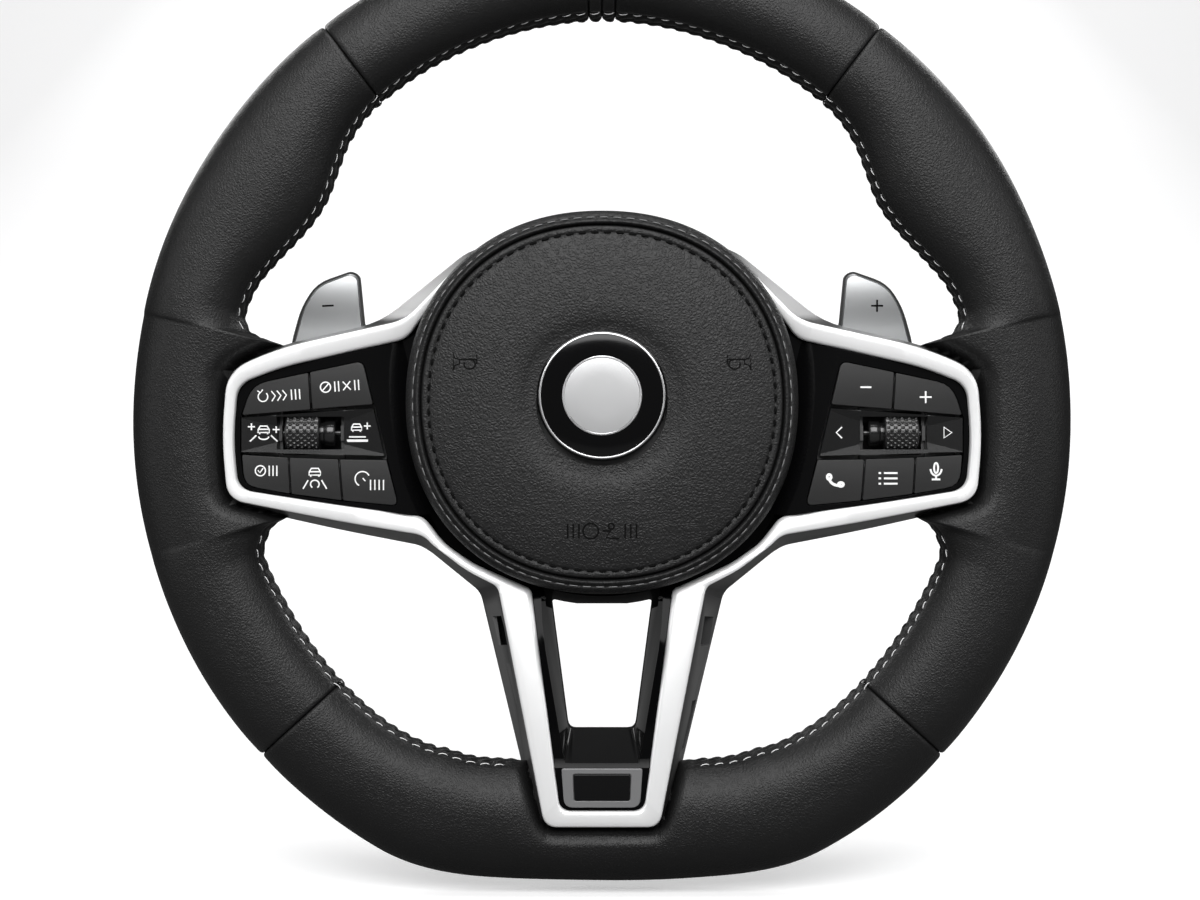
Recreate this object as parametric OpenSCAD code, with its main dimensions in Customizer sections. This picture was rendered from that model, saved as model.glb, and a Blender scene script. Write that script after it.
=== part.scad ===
// Sports steering wheel for a car, with airbag module, switch clusters and shift paddles.
// Origin: on the hub axis at the rear mouth of the column bore. The driver sits on the -Y side.

/* [Rim] */
// Outer width of the rim, left to right
rim_w = 374; // [364:2:384]
// Height that the rim would have without its flat bottom
rim_h = 389; // [380:1:398]
// Height of the rim's top above the hub axis
rim_top = 185.7; // [180:0.1:190]
// Distance of the flat bottom below the hub axis
rim_flat = 192.8; // [188:0.1:196]
// Radius of the shallow curve of the flat bottom
flat_r = 590; // [400:10:900]
// Rim depth, front to back
rim_deep = 34; // [32:0.5:37]
// Distance of the rim's middle plane in front of the hub's rear mouth
rim_lead = 58; // [56:0.5:60]
// Grip width at the top of the rim
grip_top = 34.5; // [33:0.5:37]
// Grip width at the thumb rests
grip_thumb = 49.2; // [46:0.2:51]
// Grip width at the lower sides
grip_side = 42.4; // [41:0.2:44]
// Grip width at the bottom
grip_low = 46.8; // [45:0.2:48]

/* [Leather] */
// Thickness of the leather
leather_t = 1.2; // [1:0.1:1.5]
// Angle of the upper side seams from the top, degrees
seam_high = 36.5; // [33:0.5:40]
// Angle of the lower side seams from the top, degrees
seam_low = 133.5; // [130:0.5:137]
// Width of one of the two marker pads at the top
marker_w = 6.1; // [5:0.1:9]

/* [Casting] */
// Width of the cast ring inside the rim
ring_w = 11; // [10:0.5:12]
// Depth of the cast ring
ring_deep = 17; // [14:0.5:18]
// Thickness of the cast spoke arms
arm_t = 6; // [5:0.5:6.5]
// Diameter of the hub boss
boss_d = 44; // [38:1:50]
// Diameter of the hub's web disc
web_d = 100; // [98:1:101]
// Diameter of the column bore
bore_d = 17; // [15:0.5:19]
// Depth of the column bore
bore_l = 28; // [24:1:31]
// Outer diameter of the steel bush
bush_d = 26; // [24:0.5:30]

/* [Trim] */
// Thickness of the bright trim moulding
trim_t = 2.8; // [2:0.1:3.2]
// Wall of the spoke housing
shell_t = 2.5; // [2:0.1:3]
// Distance of the lower trim edge above the flat bottom
trim_rise = 23.6; // [22:0.2:26]
// Gap between neighbouring trim pieces
trim_gap = 0.3; // [0.2:0.05:0.4]

/* [Airbag module] */
// Width of the airbag cover
cover_w = 154.8; // [152:0.2:156]
// Height of the airbag cover
cover_h = 151.2; // [149:0.2:153]
// Diameter of the round emblem
emblem_d = 51; // [46:1:56]
// Diameter of the metal can
can_d = 121; // [117:1:122]
// Diameter of the gas generator
gas_d = 64; // [58:1:66]
// Travel of the horn press
horn_travel = 2.5; // [1.5:0.1:2.6]

/* [Switches] */
// Gap round a button
button_gap = 0.35; // [0.3:0.05:0.5]
// Travel of a button
button_travel = 1; // [0.5:0.1:1.2]
// Diameter of the thumbwheels
wheel_d = 16.4; // [15:0.2:16.8]
// Thickness of the circuit boards
board_t = 1.6; // [1:0.1:1.8]

/* [Paddles] */
// Thickness of a paddle
paddle_t = 3.4; // [3:0.1:4]
// Thickness of a paddle's bright face
face_t = 1; // [0.6:0.1:1.1]
// Diameter of a paddle's hinge pin
paddle_pin_d = 4; // [3:0.2:4.4]

/* [Hidden] */
$fn = 64;

// Clearance of a seated fit, and of a running fit
fit = 0.3;
run = 0.35;
// Steps of each rounded corner, sides of the rim's section and steps round the airbag cover
corner_steps = 4;
rim_sides = 16;
cover_steps = 48;
// How square the rim's section and the cover's outline are, 2 being round
rim_power = 2.3;
cover_power = 2.16;

// Rim
rim_y = -rim_lead;
rim_cz = rim_top - rim_h / 2;
flat_drop = rim_flat + rim_cz;
flat_blend = 6;
marker_a = asin(marker_w / (rim_h / 2 - grip_top / 2));
ring_r = (rim_top + rim_flat) / 2 - 15.8;
ring_z = (rim_top - rim_flat) / 2 - 3.9;
ring_y = rim_y + 2.5;
grips = [
    [-18, 35.5], [0, grip_top], [20, grip_top + 1.1], [38, grip_top + 2.9], [44, grip_top + 5.5],
    [49, grip_thumb - 3.9], [54, grip_thumb], [58.5, grip_thumb - 0.2], [63, grip_thumb - 3.4],
    [67, 41.6], [71, 38.2], [74, 38.8], [76, 43.5], [77.4, 52], [78, 52], [84, 46], [90, 44], [100, 46],
    [106, 52], [106.6, 52], [108, 44], [110, 41.5],
    [118, grip_side - 0.4], [132, grip_side], [142, grip_side + 0.4], [148, grip_side + 1.9],
    [155, grip_low + 0.4], [163, grip_low - 1], [171, grip_low - 0.4], [180, grip_low], [198, grip_low]
];

// Ends of the spokes: far end of a side spoke, and lower end of the lower spoke
end_x = rim_w / 2 - 37.4;
end_z = rim_flat - trim_rise;

// The outlines are drawn for these two ends. Past the hub they stretch to the real ones
drawn_x = 149.6;
drawn_z = 169.2;
hub_x = 62;
hub_z = 80;
stretch_x = (end_x - hub_x) / (drawn_x - hub_x);
stretch_z = (end_z - hub_z) / (drawn_z - hub_z);
tighter = min(stretch_x, stretch_z, 1);
function spread(x) = abs(x) < hub_x ? x : sign(x) * (hub_x + (abs(x) - hub_x) * stretch_x);
function sink(z) = z > -hub_z ? z : -hub_z + (z + hub_z) * stretch_z;
function placed(c) = [for (p = c) [spread(p.x), sink(p.y), p.z * tighter]];
function moved(c) = [for (p = c) [spread(p.x), sink(p.y)]];

// Depths of the layers, from the driver to the column
web_front = -46;
web_back = -42.3;
arm_back = -45;
arm_front = arm_back - arm_t;
plate_front = -42;
plate_back = plate_front + shell_t;
flare_y = -48;
board_back = -56.1;
board_front = board_back - board_t;
carrier_front = -59.7;
carrier_back = board_front - fit;
button_front = -67;
button_back = -63.5;
wheel_y = -60.4;
wheel_z = -14.5;
boss_back = -4;
boss_front = -38;
can_back = -54;
can_front = -64;
cover_edge_back = -66;
collar_back = -57;
collar_t = 3;
slot_y = -56;

// Depth of the trim's front face at each distance from the hub axis
dish = [[0, -62], [80, -62], [100, -68.5], [146, -69.5], [158, -72.5], [260, -72.5]];
badge_y = lookup(end_z - 10, dish);
badge_t = 0.9;
badge_plate_y = badge_y + 0.3;
shelf_y = badge_y + 1.6;

// Outlines on the left side as corners [x, z, setback of the rounding], seen from the driver.
// The trim's outer and inner edges and the housing's flare have matching corners
trim_outer = placed([
    [-42, 59.5, 3], [-57.8, 51.8, 4], [-78.5, 30.4, 6], [-128, 18.8, 12], [-147.6, 10, 9],
    [-149.6, -16, 12], [-147.2, -40.8, 7], [-107, -48.8, 12], [-71, -55, 3.4],
    [-66.5, -59.5, 2.6], [-54, -69, 4.5], [-41.3, -75.6, 2.5], [-22.5, -169.2, 5]
]);
trim_inner = placed([
    [-39, 53, 1], [-61.5, 45.6, 4], [-78, 22.9, 4], [-127, 11.3, 8], [-143.8, 4.6, 6],
    [-145.5, -17, 9], [-143.5, -36.8, 6], [-107, -42.6, 10], [-71, -47.6, 3.4],
    [-62.7, -58.4, 4], [-51.5, -66.3, 4.5], [-28.2, -76.6, 2], [-16.5, -162.9, 4.5]
]);
flare = placed([
    [-30, 66, 5], [-54.5, 59.3, 5], [-89.8, 30.7, 9], [-129.4, 21.6, 10], [-151, 13.2, 9],
    [-153.6, -16, 12], [-151.5, -43.4, 7], [-107, -53.4, 12], [-74, -59.8, 2.4],
    [-69.5, -62.4, 2.4], [-57.2, -72.4, 5], [-49.3, -78.8, 3], [-26.8, -172, 6]
]);
// The same outline where the housing turns in to its back
flare_back = [for (p = flare) [p.x * 0.985, p.y * 0.985, p.z]];
cluster_inner = [for (i = [8:-1:2]) trim_inner[i]];
// Opening between the legs of the lower spoke, at the back and at the front lip
v_back = placed([[-20.4, -82.4, 1], [-13.5, -134.9, 3]]);
v_front = placed([[-26.4, -78, 1], [-14.9, -145.2, 3]]);

// Rows of the switch cluster on the left side
button_names = ["top_outer", "top_inner", "low_outer", "low_middle", "low_inner"];
button_corners = [
    placed([[-142.2, -7.4, 1], [-115.3, -5.2, 0.6], [-116.2, 9.3, 0.6], [-138.1, 4.6, 6]]),
    placed([[-114.5, -5.1, 0.6], [-90.6, -3.2, 1], [-94.6, 13.9, 3], [-115.4, 9.5, 0.6]]),
    placed([[-142.2, -23.2, 0.6], [-141.2, -35.2, 5], [-123.4, -38.4, 0.6], [-124.2, -24.2, 0.6]]),
    placed([[-123.4, -24.3, 0.6], [-122.6, -38.5, 0.6], [-103, -41, 0.6], [-104.3, -24.9, 0.6]]),
    placed([[-103.5, -25, 0.6], [-102.2, -41.1, 0.6], [-80.6, -43.2, 3], [-85.2, -25.2, 0.6]])
];
button_stems = moved([[-127, 0], [-102, 4], [-132, -30], [-113, -32], [-93, -34]]);
stem_d = 4.4;
crown_r = 90;
rocker_corners = placed([[-142.7, -8.2, 1], [-142.7, -22.2, 1], [-86, -23.9, 1.5], [-90.3, -4.5, 1.5]]);
rocker_stems = [spread(-136.5), spread(-95.5)];
rocker_front = -66.4;
rocker_back = -63;
// The saddle is hollowed by a cylinder that lies across it
saddle_r = 12;
saddle_y = -76.5;
// The one opening in the bezel that all the keys of a cluster share
key_field = placed([
    [-138.1, 4.6, 6], [-142.7, -8, 1.5], [-142.7, -22.4, 1.5], [-141.2, -35.2, 5],
    [-123, -38.6, 4], [-102.6, -41.2, 4], [-80.6, -43.2, 3],
    [-85.2, -24.4, 1.5], [-90.1, -4, 1.5], [-94.6, 13.9, 3]
]);
// Window of the thumbwheel: left, right, lower and upper edge
window = [spread(-128.8), spread(-102.2), wheel_z - 6.5, wheel_z + 6.5];
wheel_x = [spread(-125.4), spread(-110.3)];
wheel_edge = 1.2;
collar_x = spread(-104.6);
collar_d = 10.4;
axle_d = 2.6;
yoke_t = 1.3;
yoke = [spread(-128.4), spread(-102.5), -24.6, -4.4];

// Paddles on the left side
paddle_corners = placed([
    [-58.6, 9.4, 0.6], [-67.5, 9.4, 1.5], [-84, 13, 6], [-98, 27, 5], [-100.4, 51.6, 2.2],
    [-104, 52.8, 1.3],
    [-118, 47.9, 5.5], [-124.5, 38, 5.5], [-130, 18, 8], [-122, -2, 8], [-95, -9.4, 8], [-58.6, -9.4, 0.6]
]);
face_corners = placed([
    [-99.2, 22, 1], [-101.8, 48.6, 2], [-104.6, 50.8, 1.2], [-116.6, 46, 5], [-122.6, 36.8, 5],
    [-126.8, 22, 1]
]);
paddle_front = -33.4;
hinge_x = -62;
hinge_y = paddle_front + paddle_t / 2;
barrel_d = paddle_pin_d + 4;
lug_t = 3;
barrel_z = 9.6;

// Airbag module
cover_cz = -2.4;
emblem_y = -75.4;
pin_head_d = 13;
pin_places = [[22, 38], [-22, 38], [0, -44]];
pin_d = 6;
spring_r = 5;
wire_d = 1.2;
screw_places = moved([
    [-78, 2], [78, 2], [-78, -24], [78, -24], [-38, -62], [38, -62], [-25, -140], [25, -140]
]);
screw_d = 3;
nut_places = [[25.8, 25.8], [-25.8, 25.8], [-25.8, -25.8], [25.8, -25.8]];
stud_d = 3.8;
nut_w = 7;
can_t = 1.2;

module mirrored(side) {
    if (side > 0)
        mirror([1, 0, 0]) children();
    else
        children();
}

// A flat outline in the wheel's plane, made thick from depth y0 to depth y1
module slab(y0, y1) {
    translate([0, y1, 0]) rotate([90, 0, 0]) linear_extrude(y1 - y0) children();
}

// A profile of [radius, depth] points turned round the hub axis
module turned(profile) {
    rotate([-90, 0, 0]) rotate_extrude() polygon(profile);
}

module peg(x, z, y0, y1, d) {
    translate([x, y1, z]) rotate([90, 0, 0]) cylinder(d = d, h = y1 - y0);
}

// A block given by its lowest and highest corners
module block(low, high) {
    translate(low) cube(high - low);
}

function unit(v) = v / norm(v);

// Each corner becomes a smooth bend that starts and ends at the corner's setback
function bend(a, b, c, n) = let (
        p = [b.x, b.y],
        s = p + unit([a.x, a.y] - p) * b.z,
        e = p + unit([c.x, c.y] - p) * b.z
    ) [for (k = [0:n]) let (u = k / n) s * (1 - u) * (1 - u) + p * 2 * u * (1 - u) + e * u * u];

function rounded(c) = [
    for (i = [0:len(c) - 1])
        each bend(c[(i + len(c) - 1) % len(c)], c[i], c[(i + 1) % len(c)], corner_steps)
];

function backwards(p) = [for (i = [len(p) - 1:-1:0]) p[i]];
function other_side(c) = [for (p = backwards(c)) [-p.x, p.y, p.z]];
function both_sides(c) = concat(c, other_side(c));

// The same for an open path, whose two ends stay as they are
function rounded_path(c) = concat(
    [[c[0].x, c[0].y]],
    [for (i = [1:len(c) - 2]) each bend(c[i - 1], c[i], c[i + 1], corner_steps)],
    [[c[len(c) - 1].x, c[len(c) - 1].y]]
);

// An outline moved outwards by d along its own normals
function grown(p, d) = [
    for (i = [0:len(p) - 1]) let (
        t = unit(p[(i + 1) % len(p)] - p[(i + len(p) - 1) % len(p)])
    ) p[i] + [t.y, -t.x] * d
];

// A band with sections of n points, one after the other. It closes on itself, or has two flat ends
module band(points, n, closed) {
    rings = len(points) / n;
    last = closed ? rings : rings - 1;
    walls = [
        for (r = [0:last - 1], k = [0:n - 1]) let (
            a = r * n + k,
            b = r * n + (k + 1) % n,
            next = r == rings - 1 ? -r * n : n
        ) [a, a + next, b + next, b]
    ];
    ends = closed ? [] : [[for (k = [0:n - 1]) k], [for (k = [n - 1:-1:0]) (rings - 1) * n + k]];
    polyhedron(points, concat(walls, ends));
}

// Depth of the trim's front face at a point of the wheel's plane
function dish_y(p) = lookup(norm(p), dish);

// Smooth curve through [x, y] points
function slope(p, i) = let (
        a = max(i - 1, 0),
        b = min(i + 1, len(p) - 1)
    ) (p[b].y - p[a].y) / (p[b].x - p[a].x);
function curve(p, x) = let (
        i = max([for (k = [0:len(p) - 2]) if (p[k].x <= x) k]),
        d = p[i + 1].x - p[i].x,
        u = (x - p[i].x) / d
    ) p[i].y * (1 - u) * (1 - u) * (1 + 2 * u) + p[i + 1].y * u * u * (3 - 2 * u)
        + slope(p, i) * d * u * (1 - u) * (1 - u) - slope(p, i + 1) * d * u * u * (1 - u);

// Outer edge of the rim at angle t from the top: an ellipse with a shallow arc across its bottom
function rim_edge(t) = let (
        x = rim_w / 2 * sin(t),
        round_z = -rim_h / 2 * cos(t),
        flat_z = flat_drop - x * x / (2 * flat_r),
        h = max(flat_blend - abs(round_z - flat_z), 0) / flat_blend
    ) [x, rim_cz - min(round_z, flat_z) + h * h * flat_blend / 4];

function rim_normal(t) = let (d = unit(rim_edge(t + 0.5) - rim_edge(t - 0.5))) [-d.y, d.x];
function fold_angle(t) = let (m = (t + 720) % 360) m > 180 ? 360 - m : m;
function grip(t) = curve(grips, fold_angle(t));
function blunt(v, power) = sign(v) * pow(abs(v), 2 / power);

// How far the spokes reach into the rim at depth y, sideways and down, and the angles where they do
function reach(y, near, far) = near + (far - near) * min(max((y + 66) / 18, 0), 1);
spoke_angles = [77.6, 106.3];
low_angle = 166.5;

// A point of the rim moved clear of the spokes
function cleared(p, t, gap) = let (
        side = reach(p.y, end_x + 0.4, end_x + 4.2) + gap,
        high = max(p.z - 2, 0),
        low = max(-32 - p.z, 0),
        x = side - 0.025 * high * high - 0.03 * low * low,
        down = reach(p.y, end_z + 0.4, end_z + 3) + gap,
        beyond = max(abs(p.x) - reach(p.y, 23, 27.4) - gap, 0),
        m = fold_angle(t)
    ) m > spoke_angles[0] && m < spoke_angles[1] ? [sign(p.x) * max(abs(p.x), x), p.y, p.z]
        : m > low_angle ? [p.x, p.y, min(p.z, -down + 4.4 * beyond)] : p;

// Section of the rim at angle t, lying inset under the outer surface
function rim_ring(t, inset) = let (
        n = rim_normal(t),
        c = rim_edge(t) - n * grip(t) / 2,
        w = grip(t) / 2 - inset,
        d = rim_deep / 2 - inset
    ) [
        for (k = [0:rim_sides - 1]) let (
            s = 360 * (k + 0.5) / rim_sides,
            p = c + n * w * blunt(cos(s), rim_power)
        ) cleared([p.x, rim_y + d * blunt(sin(s), rim_power), p.y], t, inset + fit)
    ];

function steps(a, b) = let (n = ceil((b - a) / 5.5)) [for (k = [0:n]) a + (b - a) * k / n];
function mirrored_angles(ts) = [for (t = backwards(ts)) 360 - t];

// Triangles between rings of n points at the angles ts, split alike on both sides of the rim
function tube_faces(ts, n, first, flip) = [
    for (r = [0:len(ts) - 2], k = [0:n - 1]) let (
        a = first + r * n + k,
        b = first + r * n + (k + 1) % n,
        pair = ts[r] + ts[r + 1] > 360
            ? [[a, b, a + n], [b, b + n, a + n]]
            : [[a, b, b + n], [a, b + n, a + n]]
    ) each [for (f = pair) flip ? backwards(f) : f]
];

// Angles of the sections, close together where the spokes meet the rim
marker_span = [0, marker_a];
top_span = steps(marker_a, seam_high);
side_span = concat(
    steps(seam_high, 74), [76, 77.4, 77.8], steps(82, 102), [106.1, 106.5, 108], steps(112, seam_low)
);
low_half = concat(steps(seam_low, 164), [167, 168.6, 169.6, 170.7, 171.4, 172.2, 173, 176], [180]);
low_span = concat(low_half, [for (t = mirrored_angles(low_half)) if (t > 180) t]);

// One sewn panel of leather over the given angles, slit where the casting's arms pass through
module leather(ts, slit) {
    r = len(ts);
    n = rim_sides;
    points = concat([for (t = ts) each rim_ring(t, 0)], [for (t = ts) each rim_ring(t, leather_t)]);
    start = [for (k = [0:n - 1]) let (j = (k + 1) % n) [k, r * n + k, r * n + j, j]];
    last = (r - 1) * n;
    stop = [for (k = [0:n - 1]) let (j = (k + 1) % n)
        [last + k, last + j, r * n + last + j, r * n + last + k]];
    faces = concat(tube_faces(ts, n, 0, false), tube_faces(ts, n, r * n, true), start, stop);
    color([0.11, 0.11, 0.11]) difference() {
        polyhedron(points, faces);
        if (slit)
            arms(fit);
    }
}

// Foam that is moulded round the cast ring and carries the leather
module rim_foam() {
    right = concat(marker_span, top_span, side_span, low_half);
    ts = concat(right, mirrored_angles(right));
    kept = [for (i = [0:len(ts) - 2]) if (ts[i + 1] - ts[i] > 0.01) ts[i]];
    r = len(kept);
    n = rim_sides;
    points = [for (t = kept) each rim_ring(t, leather_t + fit)];
    closing = [
        for (k = [0:n - 1]) let (j = (k + 1) % n, l = (r - 1) * n)
            each [[l + k, l + j, k], [l + j, j, k]]
    ];
    w = ring_w / 2 + 1;
    d = ring_deep / 2 + fit;
    color("dimgray") difference() {
        polyhedron(points, concat(tube_faces(kept, n, 0, false), closing));
        for (a = [0:10:350])
            hull() for (b = [a, a + 10])
                translate([0, 0, ring_z]) rotate([0, b, 0])
                    translate([ring_r - w, ring_y - d, 0]) cube([2 * w, 2 * d, 1]);
        arms(fit);
    }
}

// The cast ring inside the rim: a channel open to the back
module cast_ring(rib) {
    w = ring_w / 2;
    y0 = ring_y - ring_deep / 2;
    y1 = ring_y + ring_deep / 2;
    difference() {
        translate([0, 0, ring_z]) turned([
            [ring_r - w, y0], [ring_r + w, y0], [ring_r + w, y1], [ring_r + w - rib, y1],
            [ring_r + w - rib, y0 + rib], [ring_r - w + rib, y0 + rib], [ring_r - w + rib, y1],
            [ring_r - w, y1]
        ]);
        // Flat where the lower spoke's leather turns in
        block([-32, y0 - 1, -end_z - 4.9], [32, y1 + 1, -end_z + 9]);
    }
}

// Spoke arms of the casting
module arms(gap) {
    side = rounded([
        [-45, 15, 2], [-70, 10, 8], [-end_x - 20, 2, 0.5], [-end_x - 20, -34, 0.5], [-70, -32, 8],
        [-45, -27, 2]
    ]);
    leg = rounded([
        [-24, -38, 1], [-44, -28, 1], [-41, -76, 8], [-22.6, -end_z - 7.5, 0.5],
        [-15.6, -end_z - 7.5, 0.5], [-30.5, -76, 8]
    ]);
    for (s = [-1, 1]) mirrored(s) {
        slab(arm_front - gap, arm_back + gap) polygon(grown(side, gap));
        slab(arm_front - gap, arm_back + gap) polygon(grown(leg, gap));
    }
}

module armature() {
    color("darkgray") difference() {
        union() {
            cast_ring(3);
            arms(0);
            turned([
                [0, web_front], [web_d / 2, web_front], [web_d / 2, web_back], [boss_d / 2 + 5, web_back],
                [boss_d / 2, web_back + 6], [boss_d / 2, boss_back - 2],
                [boss_d / 2 - 2, boss_back], [0, boss_back]
            ]);
            // Stiffening ribs behind the web
            for (a = [0:45:315])
                rotate([0, a, 0])
                    block([boss_d / 2 - 4, web_back - 0.5, -2], [web_d / 2 - 4, web_back + 1.5, 2]);
        }
        peg(0, 0, web_front - 10, 1, bush_d);
        for (p = pin_places)
            peg(p.x, p.y, web_front - 1, web_back + 3, pin_d + 2 * run);
        // Lightening windows of the side arms
        for (s = [-1, 1]) mirrored(s)
            slab(arm_front - 1, arm_back + 1)
                polygon(rounded(placed([[-86, 2, 3], [-98, 0.5, 3], [-98, -22, 3], [-86, -22, 3]])));
        for (p = screw_places)
            peg(p.x, p.y, arm_front - 1, arm_back + 1, screw_d + 0.2);
    }
}

// Steel bush with the splined column bore
module hub_insert() {
    color("silver") difference() {
        turned([[0, boss_front], [bush_d / 2, boss_front], [bush_d / 2, 0], [0, 0]]);
        peg(0, 0, -bore_l, 1, bore_d);
        peg(0, 0, boss_front - 1, -bore_l + 1, 13);
    }
}

// Rear bowl that hides the hub
module rear_cover() {
    t = shell_t;
    color("black") difference() {
        turned([
            [48, plate_back], [57, plate_back], [57, plate_back + 6], [55, -22], [50, -13], [40, -8.5],
            [27, -8], [27, -8 - t], [39, -8.5 - t], [48, -14.5], [52.5, -23], [54, plate_back + 7],
            [48, plate_back + t]
        ]);
        for (s = [-1, 1]) mirrored(s)
            block([-60, -20, -3], [-50, -16, 3]);
    }
}

// Dark housing round the spokes: side walls that flare out and turn in again to the back plate
module spoke_housing() {
    front = rounded(both_sides(trim_outer));
    wide = rounded(both_sides(flare));
    back = rounded(both_sides(flare_back));
    rows = [
        grown(front, trim_gap), wide, back,
        grown(back, -shell_t), grown(wide, -shell_t), grown(front, trim_gap - shell_t)
    ];
    // The walls stop under the trim, which follows the dish
    top = trim_t + 0.2;
    points = [
        for (i = [0:len(front) - 1], k = [0:5]) let (p = rows[k][i])
            [p.x, [dish_y(p) + top, flare_y, plate_front, plate_front, flare_y, dish_y(p) + top][k], p.y]
    ];
    color([0.2, 0.2, 0.21]) difference() {
        band(points, 6, true);
        for (s = [-1, 1]) mirrored(s) {
            block([-end_x - 6, arm_front - fit, -34.5], [-end_x + 6, arm_back + fit, 5]);
            block([-25.8, arm_front - fit, -end_z - 4], [-14.8, arm_back + fit, -end_z + 5]);
            // Slots in the side walls of the lower spoke
            translate([-42.5, slot_y, sink(-94)]) rotate([0, -12, 0]) cube([8, 7, 12], center = true);
            translate([-33.8, slot_y, sink(-131)]) rotate([0, -12, 0]) cube([8, 7, 20], center = true);
        }
        // Room for the airbag module's collar and its travel
        peg(0, 0, -80, collar_back + horn_travel + fit, can_d + 2 * collar_t + 4 * fit);
        peg(0, 0, -80, can_back + horn_travel + fit, can_d + 4 * fit);
    }
}

function arc(r, a, b, n) = [for (k = [0:n]) let (t = a + (b - a) * k / n) [r * sin(t), -r * cos(t)]];

// Back plate of the spokes, with screw bosses and the curved wall below the airbag
module spoke_back_plate() {
    color([0.2, 0.2, 0.21]) difference() {
        union() {
            slab(plate_front, plate_back) polygon(rounded(both_sides(flare_back)));
            slab(-60, plate_front) polygon(concat(arc(79.5, -14, 14, 8), arc(83, 14, -14, 8)));
            for (p = screw_places)
                peg(p.x, p.y, arm_back, plate_front, 8);
        }
        slab(plate_front - 1, plate_back + 1) circle(d = web_d + 2);
        slab(flare_y - 20, plate_back + 1) polygon(rounded(both_sides(v_back)));
        for (p = screw_places)
            peg(p.x, p.y, arm_back - 1, plate_back + 1, screw_d + 0.2);
    }
}

// Screws that hold the housing to the casting
module cover_screws() {
    color("gray") for (p = screw_places) {
        peg(p.x, p.y, arm_front + 1, plate_back, screw_d);
        difference() {
            peg(p.x, p.y, plate_back, plate_back + 1.8, 6);
            peg(p.x, p.y, plate_back + 0.8, plate_back + 3, 2.4);
        }
    }
}

module harness_connector() {
    color("gold") difference() {
        block([-13, web_back, -38], [13, web_back + 12, -27]);
        block([-11.5, web_back + 3, -36.5], [11.5, web_back + 13, -28.5]);
        // Slot over the web's rib
        block([-2 - fit, web_back - 1, -39], [2 + fit, web_back + 1.5 + fit, -26]);
    }
    color("gold") for (x = [-9:3:9])
        peg(x, -32.5, web_back + 3, web_back + 9, 0.8);
}

// Section of the trim: share of the way from its outer to its inner edge, and depth behind the dish
trim_section = [[0, trim_t], [1, trim_t], [1, 0.9], [0.9, 0.2], [0.55, 0], [0.1, 0.2], [0, 0.9]];

// Bright moulding: one crowned band round both clusters and down the lower spoke
module trim_frame() {
    outer = rounded_path(both_sides(trim_outer));
    inner = rounded_path(both_sides(trim_inner));
    color("gainsboro") band([
        for (i = [0:len(outer) - 1], q = trim_section) let (p = outer[i] * (1 - q.x) + inner[i] * q.x)
            [p.x, dish_y(p) + q.y, p.y]
    ], len(trim_section), false);
}

// Gloss black surround of the lower opening, with wings below the airbag cover
module lower_spoke_insert() {
    outer = concat([[-70, -46.6, 1]], [for (i = [9:12]) trim_inner[i]]);
    inner = concat(
        backwards(v_back), [[-22.5, -79.4, 0.6], [-23.5, -70.5, 1], [-45, -55, 6], [-56.5, -43.5, 1]]
    );
    outline = rounded(concat(outer, other_side(outer), other_side(inner), inner));
    color("black") difference() {
        intersection() {
            slab(-75, -44) polygon(grown(outline, -trim_gap));
            // Side view of the piece: [depth, z]
            translate([-80, 0, 0]) rotate([90, 0, 90]) linear_extrude(160) polygon([
                [-57, -40], [-57, -72], [-60.5, -80], [-67, sink(-100)], [-67.6, sink(-143)],
                [shelf_y, sink(-146)], [shelf_y, sink(-175)], [-44, sink(-175)], [-44, -86], [-54.5, -84],
                [-54.5, -40]
            ]);
        }
        hull() {
            slab(-69.2, -69) polygon(rounded(both_sides(v_front)));
            slab(-44, -43.8) polygon(rounded(both_sides(v_back)));
        }
        block([-12.5, -67.5, -end_z + 9], [12.5, -40, -end_z + 21]);
    }
}

// Outlines of the plate and the badge at the lower end of the spoke
plate_corners = [
    [-15.9, -end_z + 23.1, 1], [-14.9, -end_z + 7.8, 3.5], [14.9, -end_z + 7.8, 3.5],
    [15.9, -end_z + 23.1, 1]
];
badge_corners = [
    [-11.2, -end_z + 20.8, 0.8], [-10.8, -end_z + 10.6, 0.8],
    [10.8, -end_z + 10.6, 0.8], [11.2, -end_z + 20.8, 0.8]
];

module badge_plate() {
    color("gray") difference() {
        slab(badge_plate_y, shelf_y) polygon(rounded(plate_corners));
        slab(badge_y - 1, badge_y + badge_t) polygon(grown(rounded(badge_corners), 0.2));
    }
}

module badge() {
    color("black") slab(badge_y, badge_y + badge_t) polygon(rounded(badge_corners));
}

// Section of a bezel across its slope: flat round the keys, then sloping in below the airbag cover
slope_turn = 13.8;
bezel_section = [
    [-170, -66.2], [-86.8, -66.2], [-72, -58.6], [-40, -58.6],
    [-40, -56.4], [-72.6, -56.4], [-87.3, -63.9], [-170, -63.9]
];
// Room that the slope needs in the carrier behind it
slope_room = [[-88, -75], [-60, -75], [-60, -56.2], [-73, -56.2], [-88, -63.7]];
module along_slope(section) {
    rotate([0, -slope_turn, 0]) translate([0, 0, -90]) linear_extrude(180)
        polygon([for (p = section) [spread(p.x), p.y]]);
}

// Gloss black face plate of a switch cluster
module bezel(side) {
    hub_side = [[-64, 35, 3], [-70.6, 8, 8], [-70.6, -12, 8], [-57, -43.6, 3]];
    outline = rounded(concat(backwards(cluster_inner), backwards(hub_side)));
    color([0.03, 0.03, 0.03]) mirrored(side) difference() {
        intersection() {
            slab(-75, -50) polygon(grown(outline, -trim_gap));
            along_slope(bezel_section);
        }
        slab(-75, -50) polygon(grown(rounded(key_field), button_gap));
    }
}

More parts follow.
